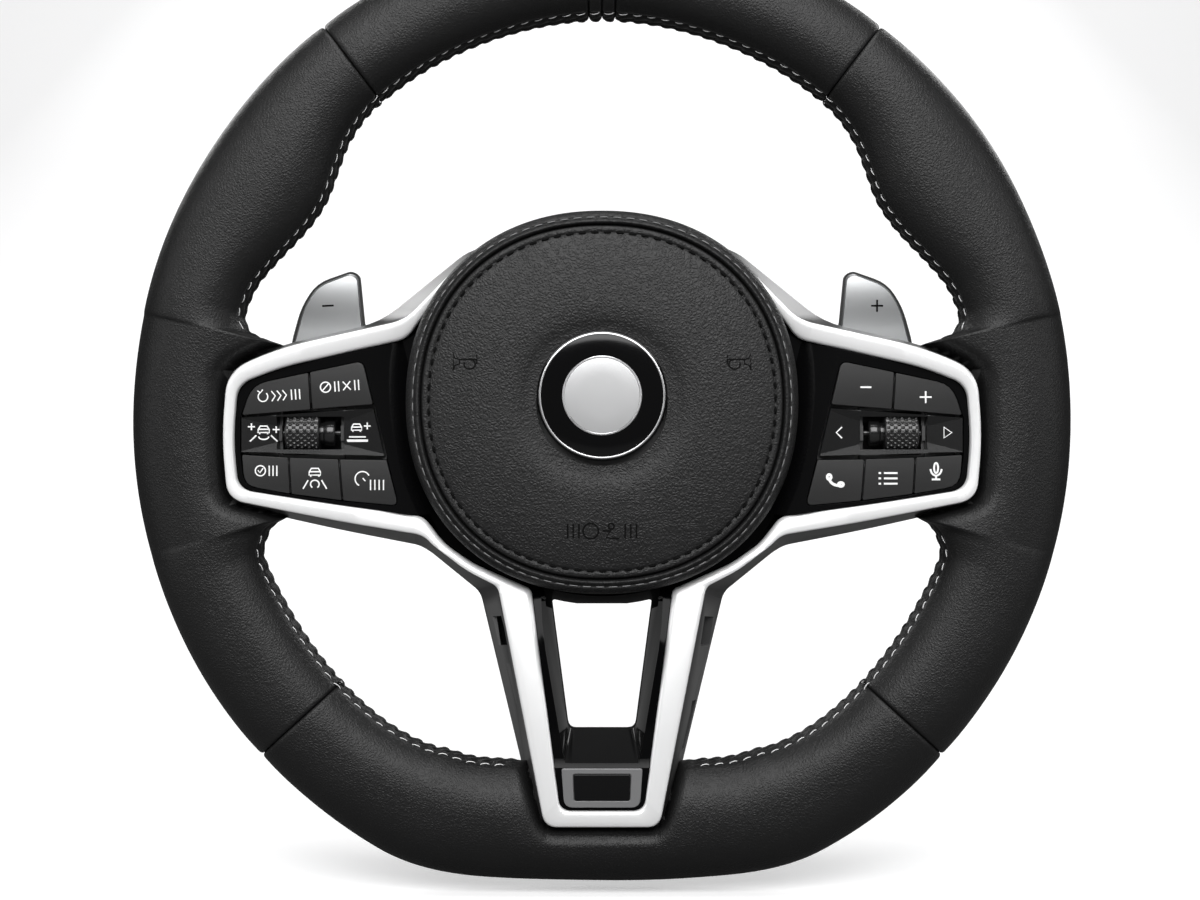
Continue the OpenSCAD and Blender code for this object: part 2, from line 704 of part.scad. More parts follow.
// A key with a crowned face, and its guided stem
module button(side, name) {
    i = search([name], button_names)[0];
    middle_z = button_stems[i].y;
    color([0.16, 0.16, 0.17]) mirrored(side) {
        intersection() {
            slab(button_front, button_back) polygon(rounded(button_corners[i]));
            translate([-rim_w / 2, button_front + crown_r, middle_z]) rotate([0, 90, 0])
                cylinder(r = crown_r, h = rim_w / 2, $fn = 96);
        }
        peg(button_stems[i].x, middle_z, button_back, board_front - button_travel - 0.2, stem_d);
    }
}

// Tilting saddle between the button rows, with the window of the thumbwheel
module rocker(side) {
    color([0.05, 0.05, 0.05]) mirrored(side) {
        difference() {
            slab(rocker_front, rocker_back) polygon(rounded(rocker_corners));
            translate([-rim_w / 2, saddle_y, wheel_z]) rotate([0, 90, 0])
                cylinder(r = saddle_r, h = rim_w / 2);
            block([window[0], rocker_front - 3, window[2]], [window[1], rocker_back + 3, window[3]]);
            // Room for the wheel while the rocker tilts
            translate([window[0], wheel_y, wheel_z]) rotate([0, 90, 0])
                cylinder(d = wheel_d + 4 * run, h = window[1] - window[0]);
        }
        for (x = rocker_stems)
            peg(x, wheel_z, rocker_back - 1, board_front - 1.3, stem_d);
    }
}

// Roller with a broad gripping band, a smooth collar and its axle
module thumbwheel(side) {
    wide = wheel_x[1] - wheel_x[0];
    color("black") mirrored(side) translate([0, wheel_y, wheel_z]) {
        translate([wheel_x[0], 0, 0]) rotate([0, 90, 0]) rotate_extrude() polygon([
            [0, 0], [wheel_d / 2 - wheel_edge, 0], [wheel_d / 2, wheel_edge],
            [wheel_d / 2, wide - wheel_edge],
            [wheel_d / 2 - wheel_edge, wide], [collar_d / 2, wide],
            [collar_d / 2, collar_x - wheel_x[0]], [0, collar_x - wheel_x[0]]
        ]);
        translate([yoke[0], 0, 0]) rotate([0, 90, 0]) cylinder(d = axle_d, h = yoke[1] - yoke[0]);
    }
}

// Frame that carries a thumbwheel's axle
module wheel_yoke(side) {
    color("dimgray") mirrored(side) difference() {
        union() {
            block([yoke[0], -60.8, yoke[2]], [yoke[1], -56.6, yoke[3]]);
            for (x = [yoke[0], yoke[1] - yoke_t])
                block([x, wheel_y - 2.2, wheel_z - 3], [x + yoke_t, -58, wheel_z + 3]);
        }
        block([yoke[0] + yoke_t, -70, yoke[2] + 1.4], [yoke[1] - yoke_t, -50, yoke[3] - 1.4]);
        translate([yoke[0] - 1, wheel_y, wheel_z]) rotate([0, 90, 0])
            cylinder(d = axle_d + 0.5, h = yoke[1] - yoke[0] + 2);
    }
}

carrier_corners = placed([
    [-85.5, 14.5, 3], [-122, 6, 6], [-141.6, 0, 5], [-143, -17, 6], [-141, -33, 5],
    [-107, -38.5, 8], [-85.5, -41.8, 3]
]);
board_corners = [for (c = carrier_corners) [c.x, c.y, max(c.z, 6 * tighter)]];
carrier_posts = moved([[-94, 5], [-90.5, -27], [-134.5, -1]]);
post_d = 5;
carrier_rim_y = -63.7;
carrier_wall = 1.5;

// Moulded tray that guides the buttons and screws to the casting
module switch_carrier(side) {
    outline = rounded(carrier_corners);
    color([0.3, 0.3, 0.3]) mirrored(side) difference() {
        union() {
            slab(carrier_front, carrier_back) polygon(outline);
            difference() {
                slab(carrier_rim_y, carrier_back) polygon(outline);
                slab(-70, carrier_back + 1) polygon(grown(outline, -carrier_wall));
            }
            for (p = carrier_posts)
                peg(p.x, p.y, carrier_back - 0.5, arm_front, post_d);
        }
        for (p = button_stems)
            peg(p.x, p.y, -70, -50, stem_d + 2 * run);
        for (x = rocker_stems)
            peg(x, wheel_z, -70, -50, stem_d + 4 * run);
        for (b = button_corners)
            slab(-70, button_back + button_travel + fit) polygon(grown(rounded(b), button_gap));
        slab(-70, rocker_back + 1.6) polygon(grown(rounded(rocker_corners), 0.8));
        along_slope(slope_room);
        block([yoke[0] - run, -70, yoke[2] - run], [yoke[1] + run, -50, yoke[3] + run]);
    }
}

// Board behind the keys, round the carrier's posts
module circuit_board(side) {
    color("darkgreen") mirrored(side) difference() {
        slab(board_front, board_back) polygon(grown(rounded(board_corners), -2));
        for (p = carrier_posts)
            peg(p.x, p.y, -70, -50, post_d + 0.8);
        block([yoke[0] - run, -70, yoke[2] - run], [yoke[1] + run, -50, yoke[3] + run]);
    }
}

// Shift paddle with its hinge barrel
module paddle(side) {
    color("black") mirrored(side) difference() {
        union() {
            slab(paddle_front, paddle_front + paddle_t) polygon(rounded(paddle_corners));
            translate([hinge_x, hinge_y, -barrel_z]) cylinder(d = barrel_d, h = 2 * barrel_z);
        }
        translate([hinge_x, hinge_y, -20]) cylinder(d = paddle_pin_d + 0.5, h = 40);
    }
}

module paddle_face(side) {
    color("silver") mirrored(side)
        slab(paddle_front - face_t, paddle_front) polygon(rounded(face_corners));
}

module paddle_pin(side) {
    half = barrel_z + fit + lug_t;
    color("gray") mirrored(side)
        translate([hinge_x, hinge_y, -half]) cylinder(d = paddle_pin_d, h = 2 * half);
}

// Bracket behind the housing with the two lugs of a paddle's pin
module paddle_bracket(side) {
    half = barrel_z + fit + lug_t;
    color("dimgray") mirrored(side) difference() {
        union() {
            block([hinge_x - 5, plate_back, -half], [hinge_x + 4.4, plate_back + 1.5, half]);
            for (z = [-half, half - lug_t]) {
                block([hinge_x - 4, plate_back, z], [hinge_x + 4, hinge_y, z + lug_t]);
                translate([hinge_x, hinge_y, z]) cylinder(d = barrel_d, h = lug_t);
            }
        }
        translate([hinge_x, hinge_y, -30]) cylinder(d = paddle_pin_d + 0.2, h = 60);
    }
}

// Outline of the airbag cover, as a share of its full size
function cover_point(a, share) = [
    share * cover_w / 2 * blunt(cos(a), cover_power),
    cover_cz + share * cover_h / 2 * blunt(sin(a), cover_power)
];
function cover_outline(share) = [for (k = [0:cover_steps - 1]) cover_point(360 * k / cover_steps, share)];

// A band with a closed profile of [share, depth] points carried round the cover's outline
module cover_band(profile) {
    points = [
        for (k = [0:cover_steps - 1], p = profile) let (c = cover_point(360 * k / cover_steps, p.x))
            [c.x, p.y, c.y]
    ];
    band(points, len(profile), true);
}

// Outer band of the cover with its raised piping roll
border_section = [
    [0.875, -71.2], [0.875, -72.8], [0.88, -74.3], [0.892, -75.2], [0.906, -75], [0.917, -73.9],
    [0.925, -73.2],
    [0.96, -72.5], [0.985, -71.1], [1, -68.8], [0.997, cover_edge_back - 0.6], [0.985, cover_edge_back],
    [0.965, cover_edge_back], [0.965, -70.8], [0.925, -71.2]
];
module cover_border() {
    color([0.13, 0.13, 0.13]) cover_band(border_section);
}

// Centre panel: a crowned cushion with a shallow dish round the emblem
panel_rings = [
    [0.866, -70.9], [0.866, -72.4], [0.855, -73.6], [0.83, -74.6], [0.78, -75.3],
    [0.62, -76.7], [0.47, -77.2], [0.43, -76.9], [0.38, -75.9], [0.34, -75.6]
];
module cover_panel() {
    n = cover_steps;
    points = [for (p = panel_rings, k = [0:n - 1]) let (c = cover_point(360 * k / n, p.x)) [c.x, p.y, c.y]];
    last = (len(panel_rings) - 1) * n;
    walls = [
        for (r = [0:len(panel_rings) - 2], k = [0:n - 1]) let (a = r * n + k, b = r * n + (k + 1) % n)
            [a, a + n, b + n, b]
    ];
    color([0.14, 0.14, 0.14]) difference() {
        polyhedron(points, concat([[for (k = [0:n - 1]) k]], [[for (k = [n - 1:-1:0]) last + k]], walls));
        peg(0, 0, -80, -73.4, emblem_d + 0.6);
    }
}

module cover_shell() {
    color([0.25, 0.25, 0.25]) difference() {
        union() {
            slab(-70.6, -68.4) polygon(cover_outline(0.955));
            turned([
                [can_d / 2 + 0.5, -69], [can_d / 2 + collar_t, -69],
                [can_d / 2 + collar_t, collar_back], [can_d / 2 + 0.5, collar_back]
            ]);
        }
        // Tear seam on the hidden side
        for (a = [0:60:300])
            rotate([0, a, 0]) block([8, -69, -0.6], [50, -68, 0.6]);
    }
}

module emblem_disc() {
    color("black") {
        peg(0, 0, -75, -73.4, emblem_d);
        peg(0, 0, emblem_y, -75, emblem_d * 0.58);
    }
}

module emblem_ring() {
    color("silver") difference() {
        peg(0, 0, emblem_y - 0.3, -75, emblem_d * 0.967);
        peg(0, 0, -80, -70, emblem_d * 0.93);
    }
}

module airbag_can() {
    r = can_d / 2;
    color("lightgray") difference() {
        turned([
            [gas_d / 2 + 0.5, can_back - can_t], [r - can_t, can_back - can_t], [r - can_t, can_front],
            [r, can_front], [r, can_back], [gas_d / 2 + 0.5, can_back]
        ]);
        for (p = nut_places)
            peg(p.x, p.y, -70, -50, stud_d + 0.4);
    }
}

// Folded bag round the gas generator
module airbag_cushion() {
    r = can_d / 2 - can_t - fit;
    g = gas_d / 2 + 0.6;
    color("white") turned([
        [0, -67.8], [r - 4, -67.8], [r, can_front], [r, can_back - can_t - fit],
        [g + 9, can_back - can_t - fit], [g + 9, -60.9], [0, -60.9]
    ]);
}

module gas_generator() {
    g = gas_d / 2;
    color("silver") {
        turned([[0, -60.5], [g - 3, -60.5], [g, -58.5], [g, -51], [g - 3, -49.4], [0, -49.4]]);
        difference() {
            turned([
                [g - 1, can_back + 0.05], [g + 8, can_back + 0.05],
                [g + 8, can_back + 1.4], [g - 1, can_back + 1.4]
            ]);
            for (p = nut_places)
                peg(p.x, p.y, -70, -50, stud_d + 0.4);
            for (p = pin_places)
                peg(p.x, p.y, -70, -50, pin_head_d + 2 * fit);
        }
    }
}

// Studs with nuts that hold the generator to the can
module generator_nuts() {
    color("goldenrod") for (p = nut_places) {
        peg(p.x, p.y, can_back - can_t, -49.6, stud_d);
        difference() {
            translate([p.x, -50, p.y]) rotate([90, 0, 0]) cylinder(d = nut_w, h = 2.5, $fn = 6);
            peg(p.x, p.y, -60, -40, stud_d);
        }
    }
}

// Guide pins of the horn press
module horn_pins() {
    color("silver") for (p = pin_places) {
        peg(p.x, p.y, can_back, web_back + 3, pin_d);
        peg(p.x, p.y, can_back, can_back + 1, pin_head_d);
    }
}

// Return springs round the guide pins
module horn_springs() {
    turns = 3;
    n = 10;
    s = 6;
    low = can_back + 1 + wire_d / 2 + 0.1;
    high = web_front - wire_d / 2 - 0.1;
    count = turns * n;
    color("gray") for (p = pin_places)
        band([
            for (i = [0:count], k = [0:s - 1]) let (
                a = 360 * i / n,
                b = 360 * k / s,
                r = spring_r + wire_d / 2 * cos(b)
            ) [p.x + r * cos(a), low + (high - low) * i / count + wire_d / 2 * sin(b), p.y + r * sin(a)]
        ], s, false);
}

armature();
hub_insert();
rim_foam();
leather(mirrored_angles(top_span), false);  // leather_top_left
leather(top_span, false);  // leather_top_right
leather(mirrored_angles(marker_span), false);  // leather_marker_left
leather(marker_span, false);  // leather_marker_right
leather(mirrored_angles(side_span), true);  // leather_left
leather(side_span, true);  // leather_right
leather(low_span, true);  // leather_bottom
rear_cover();
spoke_housing();
spoke_back_plate();
cover_screws();
harness_connector();
trim_frame();
lower_spoke_insert();
badge_plate();
badge();
bezel(-1);  // bezel_left
bezel(1);  // bezel_right
button(-1, "top_outer");  // button_left_top_outer
button(-1, "top_inner");  // button_left_top_inner
button(-1, "low_outer");  // button_left_low_outer
button(-1, "low_middle");  // button_left_low_middle
button(-1, "low_inner");  // button_left_low_inner
button(1, "top_outer");  // button_right_top_outer
button(1, "top_inner");  // button_right_top_inner
button(1, "low_outer");  // button_right_low_outer
button(1, "low_middle");  // button_right_low_middle
button(1, "low_inner");  // button_right_low_inner
rocker(-1);  // rocker_left
rocker(1);  // rocker_right
thumbwheel(-1);  // thumbwheel_left
thumbwheel(1);  // thumbwheel_right
wheel_yoke(-1);  // wheel_yoke_left
wheel_yoke(1);  // wheel_yoke_right
switch_carrier(-1);  // switch_carrier_left
switch_carrier(1);  // switch_carrier_right
circuit_board(-1);  // circuit_board_left
circuit_board(1);  // circuit_board_right
paddle(-1);  // paddle_left
paddle(1);  // paddle_right
paddle_face(-1);  // paddle_face_left
paddle_face(1);  // paddle_face_right
paddle_pin(-1);  // paddle_pin_left
paddle_pin(1);  // paddle_pin_right
paddle_bracket(-1);  // paddle_bracket_left
paddle_bracket(1);  // paddle_bracket_right
cover_shell();
cover_border();
cover_panel();
emblem_disc();
emblem_ring();
airbag_can();
airbag_cushion();
gas_generator();
generator_nuts();
horn_pins();
horn_springs();
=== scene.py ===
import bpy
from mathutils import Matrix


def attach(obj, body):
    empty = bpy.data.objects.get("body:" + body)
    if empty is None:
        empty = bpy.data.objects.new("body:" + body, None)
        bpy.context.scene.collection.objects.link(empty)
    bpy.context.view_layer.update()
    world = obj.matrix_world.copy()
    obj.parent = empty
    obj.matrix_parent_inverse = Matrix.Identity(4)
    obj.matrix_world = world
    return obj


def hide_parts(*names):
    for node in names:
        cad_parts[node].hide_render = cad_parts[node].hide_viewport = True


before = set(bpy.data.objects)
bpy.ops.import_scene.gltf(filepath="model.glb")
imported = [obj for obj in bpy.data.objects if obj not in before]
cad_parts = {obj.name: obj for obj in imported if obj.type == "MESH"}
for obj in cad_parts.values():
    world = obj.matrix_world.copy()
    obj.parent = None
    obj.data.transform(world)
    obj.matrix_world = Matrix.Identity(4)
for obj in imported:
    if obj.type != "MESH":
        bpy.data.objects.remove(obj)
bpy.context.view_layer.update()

import math

import bmesh
import bpy
import numpy as np
from mathutils import Vector

bl_info = {
    "name": "Car steering wheel",
    "version": (1, 0, 0),
    "blender": (4, 5, 0),
    "location": "3D View > Sidebar > Wheel",
    "description": "Dresses a car steering wheel in leather, bright trim and gloss black switch clusters",
    "category": "Object",
}

MM = 0.001
WHEEL = "wheel"
MODULE = "airbag_module"

# Sizes of the wheel in millimetres, as the solids have them
RIM_W, RIM_H, RIM_TOP = 374.0, 389.0, 185.7
RIM_FLAT, FLAT_R = 192.8, 590.0
RIM_DEEP, RIM_Y = 34.0, -58.0
RIM_CZ = RIM_TOP - RIM_H / 2
# Power of the grip's superellipse, and the grip's radius at its inner line
RIM_POWER, INNER_R = 2.3, 15.5
# Rim angles of the seams and of the marker's edge, counted from the top
SEAM_HIGH, SEAM_LOW, MARKER = 36.5, 133.5, 1.96
# Rim angles over which the leather turns in above and below a side spoke
SPOKE_SPANS = ((76.2, 78.4), (105.6, 108.0))
# How far the bright trim reaches to the side and down
END_X, END_Z = 149.6, 169.2
# Width of the grip at rim angles, the same on both sides
GRIPS = np.array([
    (-18, 35.5), (0, 34.5), (20, 35.6), (38, 37.4), (44, 40.6), (48.7, 45.2), (53, 48.7), (57, 49.2),
    (61, 47.4), (65.5, 43.6), (70, 39.6), (74.3, 38.2), (75.4, 38.9), (76.7, 41.2), (77.3, 44.3),
    (77.55, 48.8), (77.7, 54.0), (78.0, 57.0), (106.0, 56.5), (106.3, 54.6), (106.6, 51.0), (107.1, 48.2),
    (108, 45.8), (109, 43.8), (110.3, 41.9), (112, 41.5), (120, 42.1), (132, 42.4), (142, 42.7), (148, 44.0),
    (155, 46.6), (163, 46.0), (171, 46.4), (180, 46.8), (198, 46.8),
])
# Depth of the bright trim by its distance from the hub axis
DISH = np.array([(0, -62), (80, -62), (100, -68.5), (146, -69.5), (158, -72.5), (260, -72.5)])
# Left halves of outlines: x and z of each corner, and how far from it its rounding starts
TRIM_OUTER = [
    (-42, 59.5, 3), (-57.8, 51.8, 4), (-78.5, 30.4, 6), (-128, 18.8, 12), (-END_X + 2, 10, 9),
    (-END_X, -16, 12), (-END_X + 2.4, -40.8, 7), (-107, -48.8, 12), (-71, -55, 3.4),
    (-66.5, -59.5, 2.6), (-54, -69, 4.5), (-41.3, -75.6, 2.5), (-22.5, -END_Z, 5),
]
TRIM_INNER = [
    (-39, 53, 1), (-61.5, 45.6, 4), (-78, 22.9, 4), (-127, 11.3, 8), (-END_X + 5.8, 4.6, 6),
    (-END_X + 4.1, -17, 9), (-END_X + 6.1, -36.8, 6), (-107, -42.6, 10), (-71, -47.6, 3.4),
    (-62.7, -58.4, 4), (-51.5, -66.3, 4.5), (-28.2, -76.6, 2), (-16.5, -END_Z + 6.3, 4.5),
]
FLARE = [
    (-30, 66, 5), (-54.5, 59.3, 5), (-89.8, 30.7, 9), (-129.4, 21.6, 10), (-END_X - 1.4, 13.2, 9),
    (-END_X - 4, -16, 12), (-END_X - 1.9, -43.4, 7), (-107, -53.4, 12), (-74, -59.8, 2.4),
    (-69.5, -62.4, 2.4), (-57.2, -72.4, 5), (-49.3, -78.8, 3), (-26.8, -END_Z - 2.8, 6),
]
# Width, height and middle of the airbag cover, and the power of its superellipse
COVER_W, COVER_H, COVER_CZ, COVER_POWER = 154.8, 151.2, -2.4, 2.16
# Where the leather turns in beside the spokes: the housing's edge, and close to the bright trim at the ends
TURN_IN = FLARE[:3] + [
    (-129.4, 21.4, 10), (-END_X + 0.6, 11.6, 9), (-END_X - 0.9, -16, 12), (-END_X + 1.2, -42, 7),
] + FLARE[7:12] + [(-23.3, -END_Z - 0.9, 6)]
# Outline of the left paddle's bright face
PADDLE_FACE = [
    (-97.9, 17, 0.6), (-100.9, 50.7, 1.8), (-104.3, 51.9, 1.2), (-117.3, 47, 5), (-123.4, 37.8, 5),
    (-128.6, 18.5, 0.8),
]
# Ends (x, z) of a rocker's upper and of its lower edge, and the sides of the knurled wheel's window
ROCKER_TOP, ROCKER_LOW = (-142.5, -8.4, -90.5, -4.7), (-142.5, -22.0, -86.2, -23.7)
ROCKER_WINDOW = (-128.8, -102.2, -21.0, -8.0)
# Depth and height of the knurled wheels' axis, and how far from the middle its inner end begins
AXIS_Y, AXIS_Z, ROLLER_END = -60.4, -14.5, 126.7
# Depths of a rocker's rims and back, and how steeply its front slopes in
ROCKER_FRONT, ROCKER_BACK, ROCKER_SLOPE = -66.4, -63.0, 0.55
# Depth of the keys' faces, and the radius of their crown
KEY_FRONT, KEY_CROWN = -67, 90


def unit(v):
    """Vectors brought to length 1."""
    return v / np.maximum(np.linalg.norm(v, axis=-1, keepdims=True), 1e-9)


def lengths(p):
    """Length along a line of points up to each of them."""
    return np.concatenate([[0], np.cumsum(np.linalg.norm(np.diff(p, axis=0), axis=1))])


def bell(v, centre, width):
    """A bell curve: the exponential of minus the squared distance from its centre, counted in widths."""
    return np.exp(-((v - centre) / width) ** 2)


def outline(corners, steps=8, closed=True):
    """Each corner (x, z, setback) becomes a parabola between the points at its setback on its two sides."""
    p = np.array(corners, float)
    before, after = np.roll(p, 1, 0)[:, :2], np.roll(p, -1, 0)[:, :2]
    here = p[:, :2]
    to_a, to_c = before - here, after - here
    s = here + unit(to_a) * p[:, 2:]
    e = here + unit(to_c) * p[:, 2:]
    u = np.linspace(0, 1, steps + 1)[None, :, None]
    bends = s[:, None] * (1 - u) ** 2 + here[:, None] * 2 * u * (1 - u) + e[:, None] * u ** 2
    if closed:
        return bends.reshape(-1, 2)
    return np.concatenate([here[:1], bends[1:-1].reshape(-1, 2), here[-1:]])


def both_sides(corners):
    """The left side's corners followed by their mirror images in the opposite order."""
    return list(corners) + [(-x, z, r) for x, z, r in reversed(corners)]


def distance_to(path, x, z):
    """Signed distance of points from a closed outline in the wheel's plane: the nearest point of all its
    straight pieces, negative inside."""
    a, b = path, np.roll(path, -1, 0)
    shape = x.shape
    q = np.stack([x.ravel(), z.ravel()], 1)
    best = np.full(len(q), 1e9)
    inside = np.zeros(len(q), bool)
    for (ax, az), (bx, bz) in zip(a, b):
        d = np.array([bx - ax, bz - az])
        w = q - (ax, az)
        u = np.clip(w @ d / max(d @ d, 1e-9), 0, 1)[:, None]
        best = np.minimum(best, ((w - u * d) ** 2).sum(1))
        crosses = (az > q[:, 1]) != (bz > q[:, 1])
        side = ax + (q[:, 1] - az) * (bx - ax) / (bz - az if abs(bz - az) > 1e-9 else 1e-9)
        inside ^= crosses & (q[:, 0] < side)
    return (np.sqrt(best) * np.where(inside, -1, 1)).reshape(shape)


def hermite(table, x):
    """A smooth curve through (x, y) points: cubic pieces whose slope at a point is that of the line between
    its two neighbours."""
    px, py = table[:, 0], table[:, 1]
    n = len(px)
    lo, hi = np.maximum(np.arange(n) - 1, 0), np.minimum(np.arange(n) + 1, n - 1)
    m = (py[hi] - py[lo]) / (px[hi] - px[lo])
    i = np.clip(np.searchsorted(px, x, side="right") - 1, 0, n - 2)
    d = px[i + 1] - px[i]
    u = (x - px[i]) / d
    return (py[i] * (1 - u) ** 2 * (1 + 2 * u) + py[i + 1] * u ** 2 * (3 - 2 * u)
            + m[i] * d * u * (1 - u) ** 2 - m[i + 1] * d * u ** 2 * (1 - u))


def blunt(v, power):
    """The coordinate of a superellipse: v raised to 2 / power with its sign kept."""
    return np.sign(v) * np.abs(v) ** (2 / power)


def smooth(v):
    """Runs from 0 to 1 as v does, level at both ends."""
    v = np.clip(v, 0, 1)
    return v * v * (3 - 2 * v)


def rim_edge(t):
    """Outer edge of the rim at angle t from the top: an ellipse, with a shallow arc across the bottom and a
    rounded change between the two."""
    x = RIM_W / 2 * np.sin(np.radians(t))
    round_z = -RIM_H / 2 * np.cos(np.radians(t))
    flat_z = RIM_FLAT + RIM_CZ - x * x / (2 * FLAT_R)
    reach = 6
    h = np.maximum(reach - np.abs(round_z - flat_z), 0) / reach
    return np.stack([x, RIM_CZ - np.minimum(round_z, flat_z) + h * h * reach / 4], -1)


def rim_axes(t):
    """Outer edge point, outward normal and grip width at angle t."""
    d = unit(rim_edge(t + 0.3) - rim_edge(t - 0.3))
    fold = np.mod(t + 720, 360)
    fold = np.where(fold > 180, 360 - fold, fold)
    return rim_edge(t), np.stack([-d[..., 1], d[..., 0]], -1), hermite(GRIPS, fold)


# Where the leather goes under, how deep it lies there, how far it rolls in, and the length of a stitch
TUCK = outline(both_sides(TURN_IN), 6)
TUCK_Y, ROLL, STITCH = -55, 4.6, 5.6


def rim_surface(t, s, lift=0.0):
    """Leather surface at rim angle t and section angle s, 0 being outside, 180 inside and 270 the driver's
    side: a superellipse that stands on the rim's outer edge. Beside the spokes it is a little thinner, and
    rolls in over a quarter of an ellipse."""
    edge, n, w = rim_axes(t)
    half = (w / 2)[..., None]
    across = blunt(np.cos(np.radians(s)), RIM_POWER)[..., None]
    xz = edge - n * half + n * (half + lift) * across
    y = (RIM_DEEP / 2 + lift) * blunt(np.sin(np.radians(s)), RIM_POWER)
    gap = distance_to(TUCK, xz[..., 0], xz[..., 1])
    y = y * (1 - 0.06 * (1 - smooth(gap / 15)))
    roll = np.sqrt(1 - (1 - np.clip(gap / ROLL, 0, 1)) ** 2)
    tucked = TUCK_Y - RIM_Y + 0.16 * y
    return np.stack([xz[..., 0], RIM_Y + tucked + (y - tucked) * roll, xz[..., 1]], -1)


def outward(v, faces):
    """The faces of a closed piece, turned round if the volume they enclose is negative."""
    v = v - v.mean(0)
    total = 0.0
    for size in {len(f) for f in faces}:
        ring = v[np.array([f for f in faces if len(f) == size])]
        for k in range(1, size - 1):
            total += np.einsum("ij,ij->", ring[:, 0], np.cross(ring[:, k], ring[:, k + 1]))
    return [f[::-1] for f in faces] if total < 0 else faces


def joined(parts):
    """Several closed pieces as one list of points and one of faces."""
    verts, faces, first = [], [], 0
    for v, block in parts:
        block = outward(v, [list(map(int, f)) for f in block])
        faces += [[k + first for k in f] for f in block]
        verts.append(v)
        first += len(v)
    return np.concatenate(verts), faces


def add_mesh(name, verts, faces, smooth_shading=True, sharp=None):
    """A mesh object from the points of a closed piece in millimetres."""
    v = np.asarray(verts, float)
    faces = outward(v, [list(map(int, f)) for f in faces])
    mesh = bpy.data.meshes.new(name)
    mesh.from_pydata((v * MM).tolist(), [], faces)
    mesh.validate()
    mesh.update()
    if smooth_shading:
        mesh.shade_smooth()
        if sharp:
            mesh.set_sharp_from_angle(angle=math.radians(sharp))
    obj = bpy.data.objects.new(name, mesh)
    bpy.context.scene.collection.objects.link(obj)
    return obj


def grid_faces(rows, cols, wrap_rows=False, wrap_cols=False):
    """Quads between neighbouring points of a grid whose points are numbered row by row."""
    r = np.arange(rows if wrap_rows else rows - 1)
    c = np.arange(cols if wrap_cols else cols - 1)
    rr, cc = np.meshgrid(r, c, indexing="ij")
    r2, c2 = (rr + 1) % rows, (cc + 1) % cols
    corners = [rr * cols + cc, rr * cols + c2, r2 * cols + c2, r2 * cols + cc]
    return np.stack(corners, -1).reshape(-1, 4).tolist()


def band(name, p, closed, sharp=None):
    """A tube through sections of equal point count. It closes on itself, or its two ends are filled."""
    rows, cols = p.shape[:2]
    faces = grid_faces(rows, cols, wrap_rows=closed, wrap_cols=True)
    if not closed:
        faces += [list(range(cols))[::-1], [(rows - 1) * cols + k for k in range(cols)]]
    return add_mesh(name, p.reshape(-1, 3), faces, sharp=sharp)


def relief(x, z, front, back):
    """A closed block over a grid of places in the wheel's plane, from its front's depth to its back's."""
    rows, cols = x.shape
    sheets = [np.stack([x, depth + 0 * x, z], -1).reshape(-1, 3) for depth in (front, back)]
    verts = np.concatenate(sheets)
    top = np.array(grid_faces(rows, cols))
    edge = np.arange(rows * cols).reshape(rows, cols)
    ring = np.concatenate([edge[0], edge[1:, -1], edge[-1, -2::-1], edge[-2:0:-1, 0]])
    after = np.roll(ring, -1)
    shift = rows * cols
    walls = np.stack([ring, ring + shift, after + shift, after], -1)
    return verts, np.concatenate([top, top[:, ::-1] + shift, walls])


def plate(name, path, front, back, bevel=0.7, rings=24, sharp=24):
    """A plate inside a closed outline, its front following a depth function, with a bevelled edge."""
    loop = np.concatenate([path, path[:1]])
    length = lengths(loop)
    place = np.linspace(0, length[-1], 160, endpoint=False)
    path = np.stack([np.interp(place, length, loop[:, 0]), np.interp(place, length, loop[:, 1])], -1)
    middle = path.mean(0)
    share = np.concatenate([[1.0, 1.0], 1 - np.linspace(0.045, 0.999, rings), [0.001, 1.0]])
    grid = middle + (path[None] - middle) * share[:, None, None]
    y = front(grid[..., 0], grid[..., 1])
    y[0], y[1], y[-2], y[-1] = back, y[1] + bevel, back, back
    return band(name, np.stack([grid[..., 0], y, grid[..., 1]], -1)[1:], closed=True, sharp=sharp)


def many_tubes(name, lines, radius, sides=6):
    """Threads along lines given as (thread, point, xyz): a circle carried along each, narrow at its ends."""
    k, m, _ = lines.shape
    along = unit(np.gradient(lines, axis=1))
    up = np.zeros_like(along)
    up[..., 1] = 1.0
    side = unit(np.cross(along, up))
    up = np.cross(side, along)
    a = np.linspace(0, 2 * np.pi, sides, endpoint=False)[None, None, :, None]
    taper = np.sqrt(np.clip(1 - np.abs(np.linspace(-1, 1, m)) ** 4 * 0.8, 0.05, 1))
    ring = np.cos(a) * side[:, :, None] + np.sin(a) * up[:, :, None]
    p = lines[:, :, None] + ring * (radius * taper)[None, :, None, None]
    one = np.array(grid_faces(m, sides, wrap_cols=True))
    faces = (one[None] + (np.arange(k) * m * sides)[:, None, None]).reshape(-1, 4).tolist()
    caps = np.concatenate([np.arange(sides)[::-1][None], (m - 1) * sides + np.arange(sides)[None]])
    faces += (caps[None] + (np.arange(k) * m * sides)[:, None, None]).reshape(-1, sides).tolist()
    return add_mesh(name, p.reshape(-1, 3), faces)


def own(obj, body, kind, replaced=()):
    """Ties a piece to its body, finish and the solids that it stands for."""
    obj.data.materials.clear()
    obj.data.materials.append(finish(kind))
    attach(obj, body)
    if replaced:
        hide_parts(*replaced)
    return obj


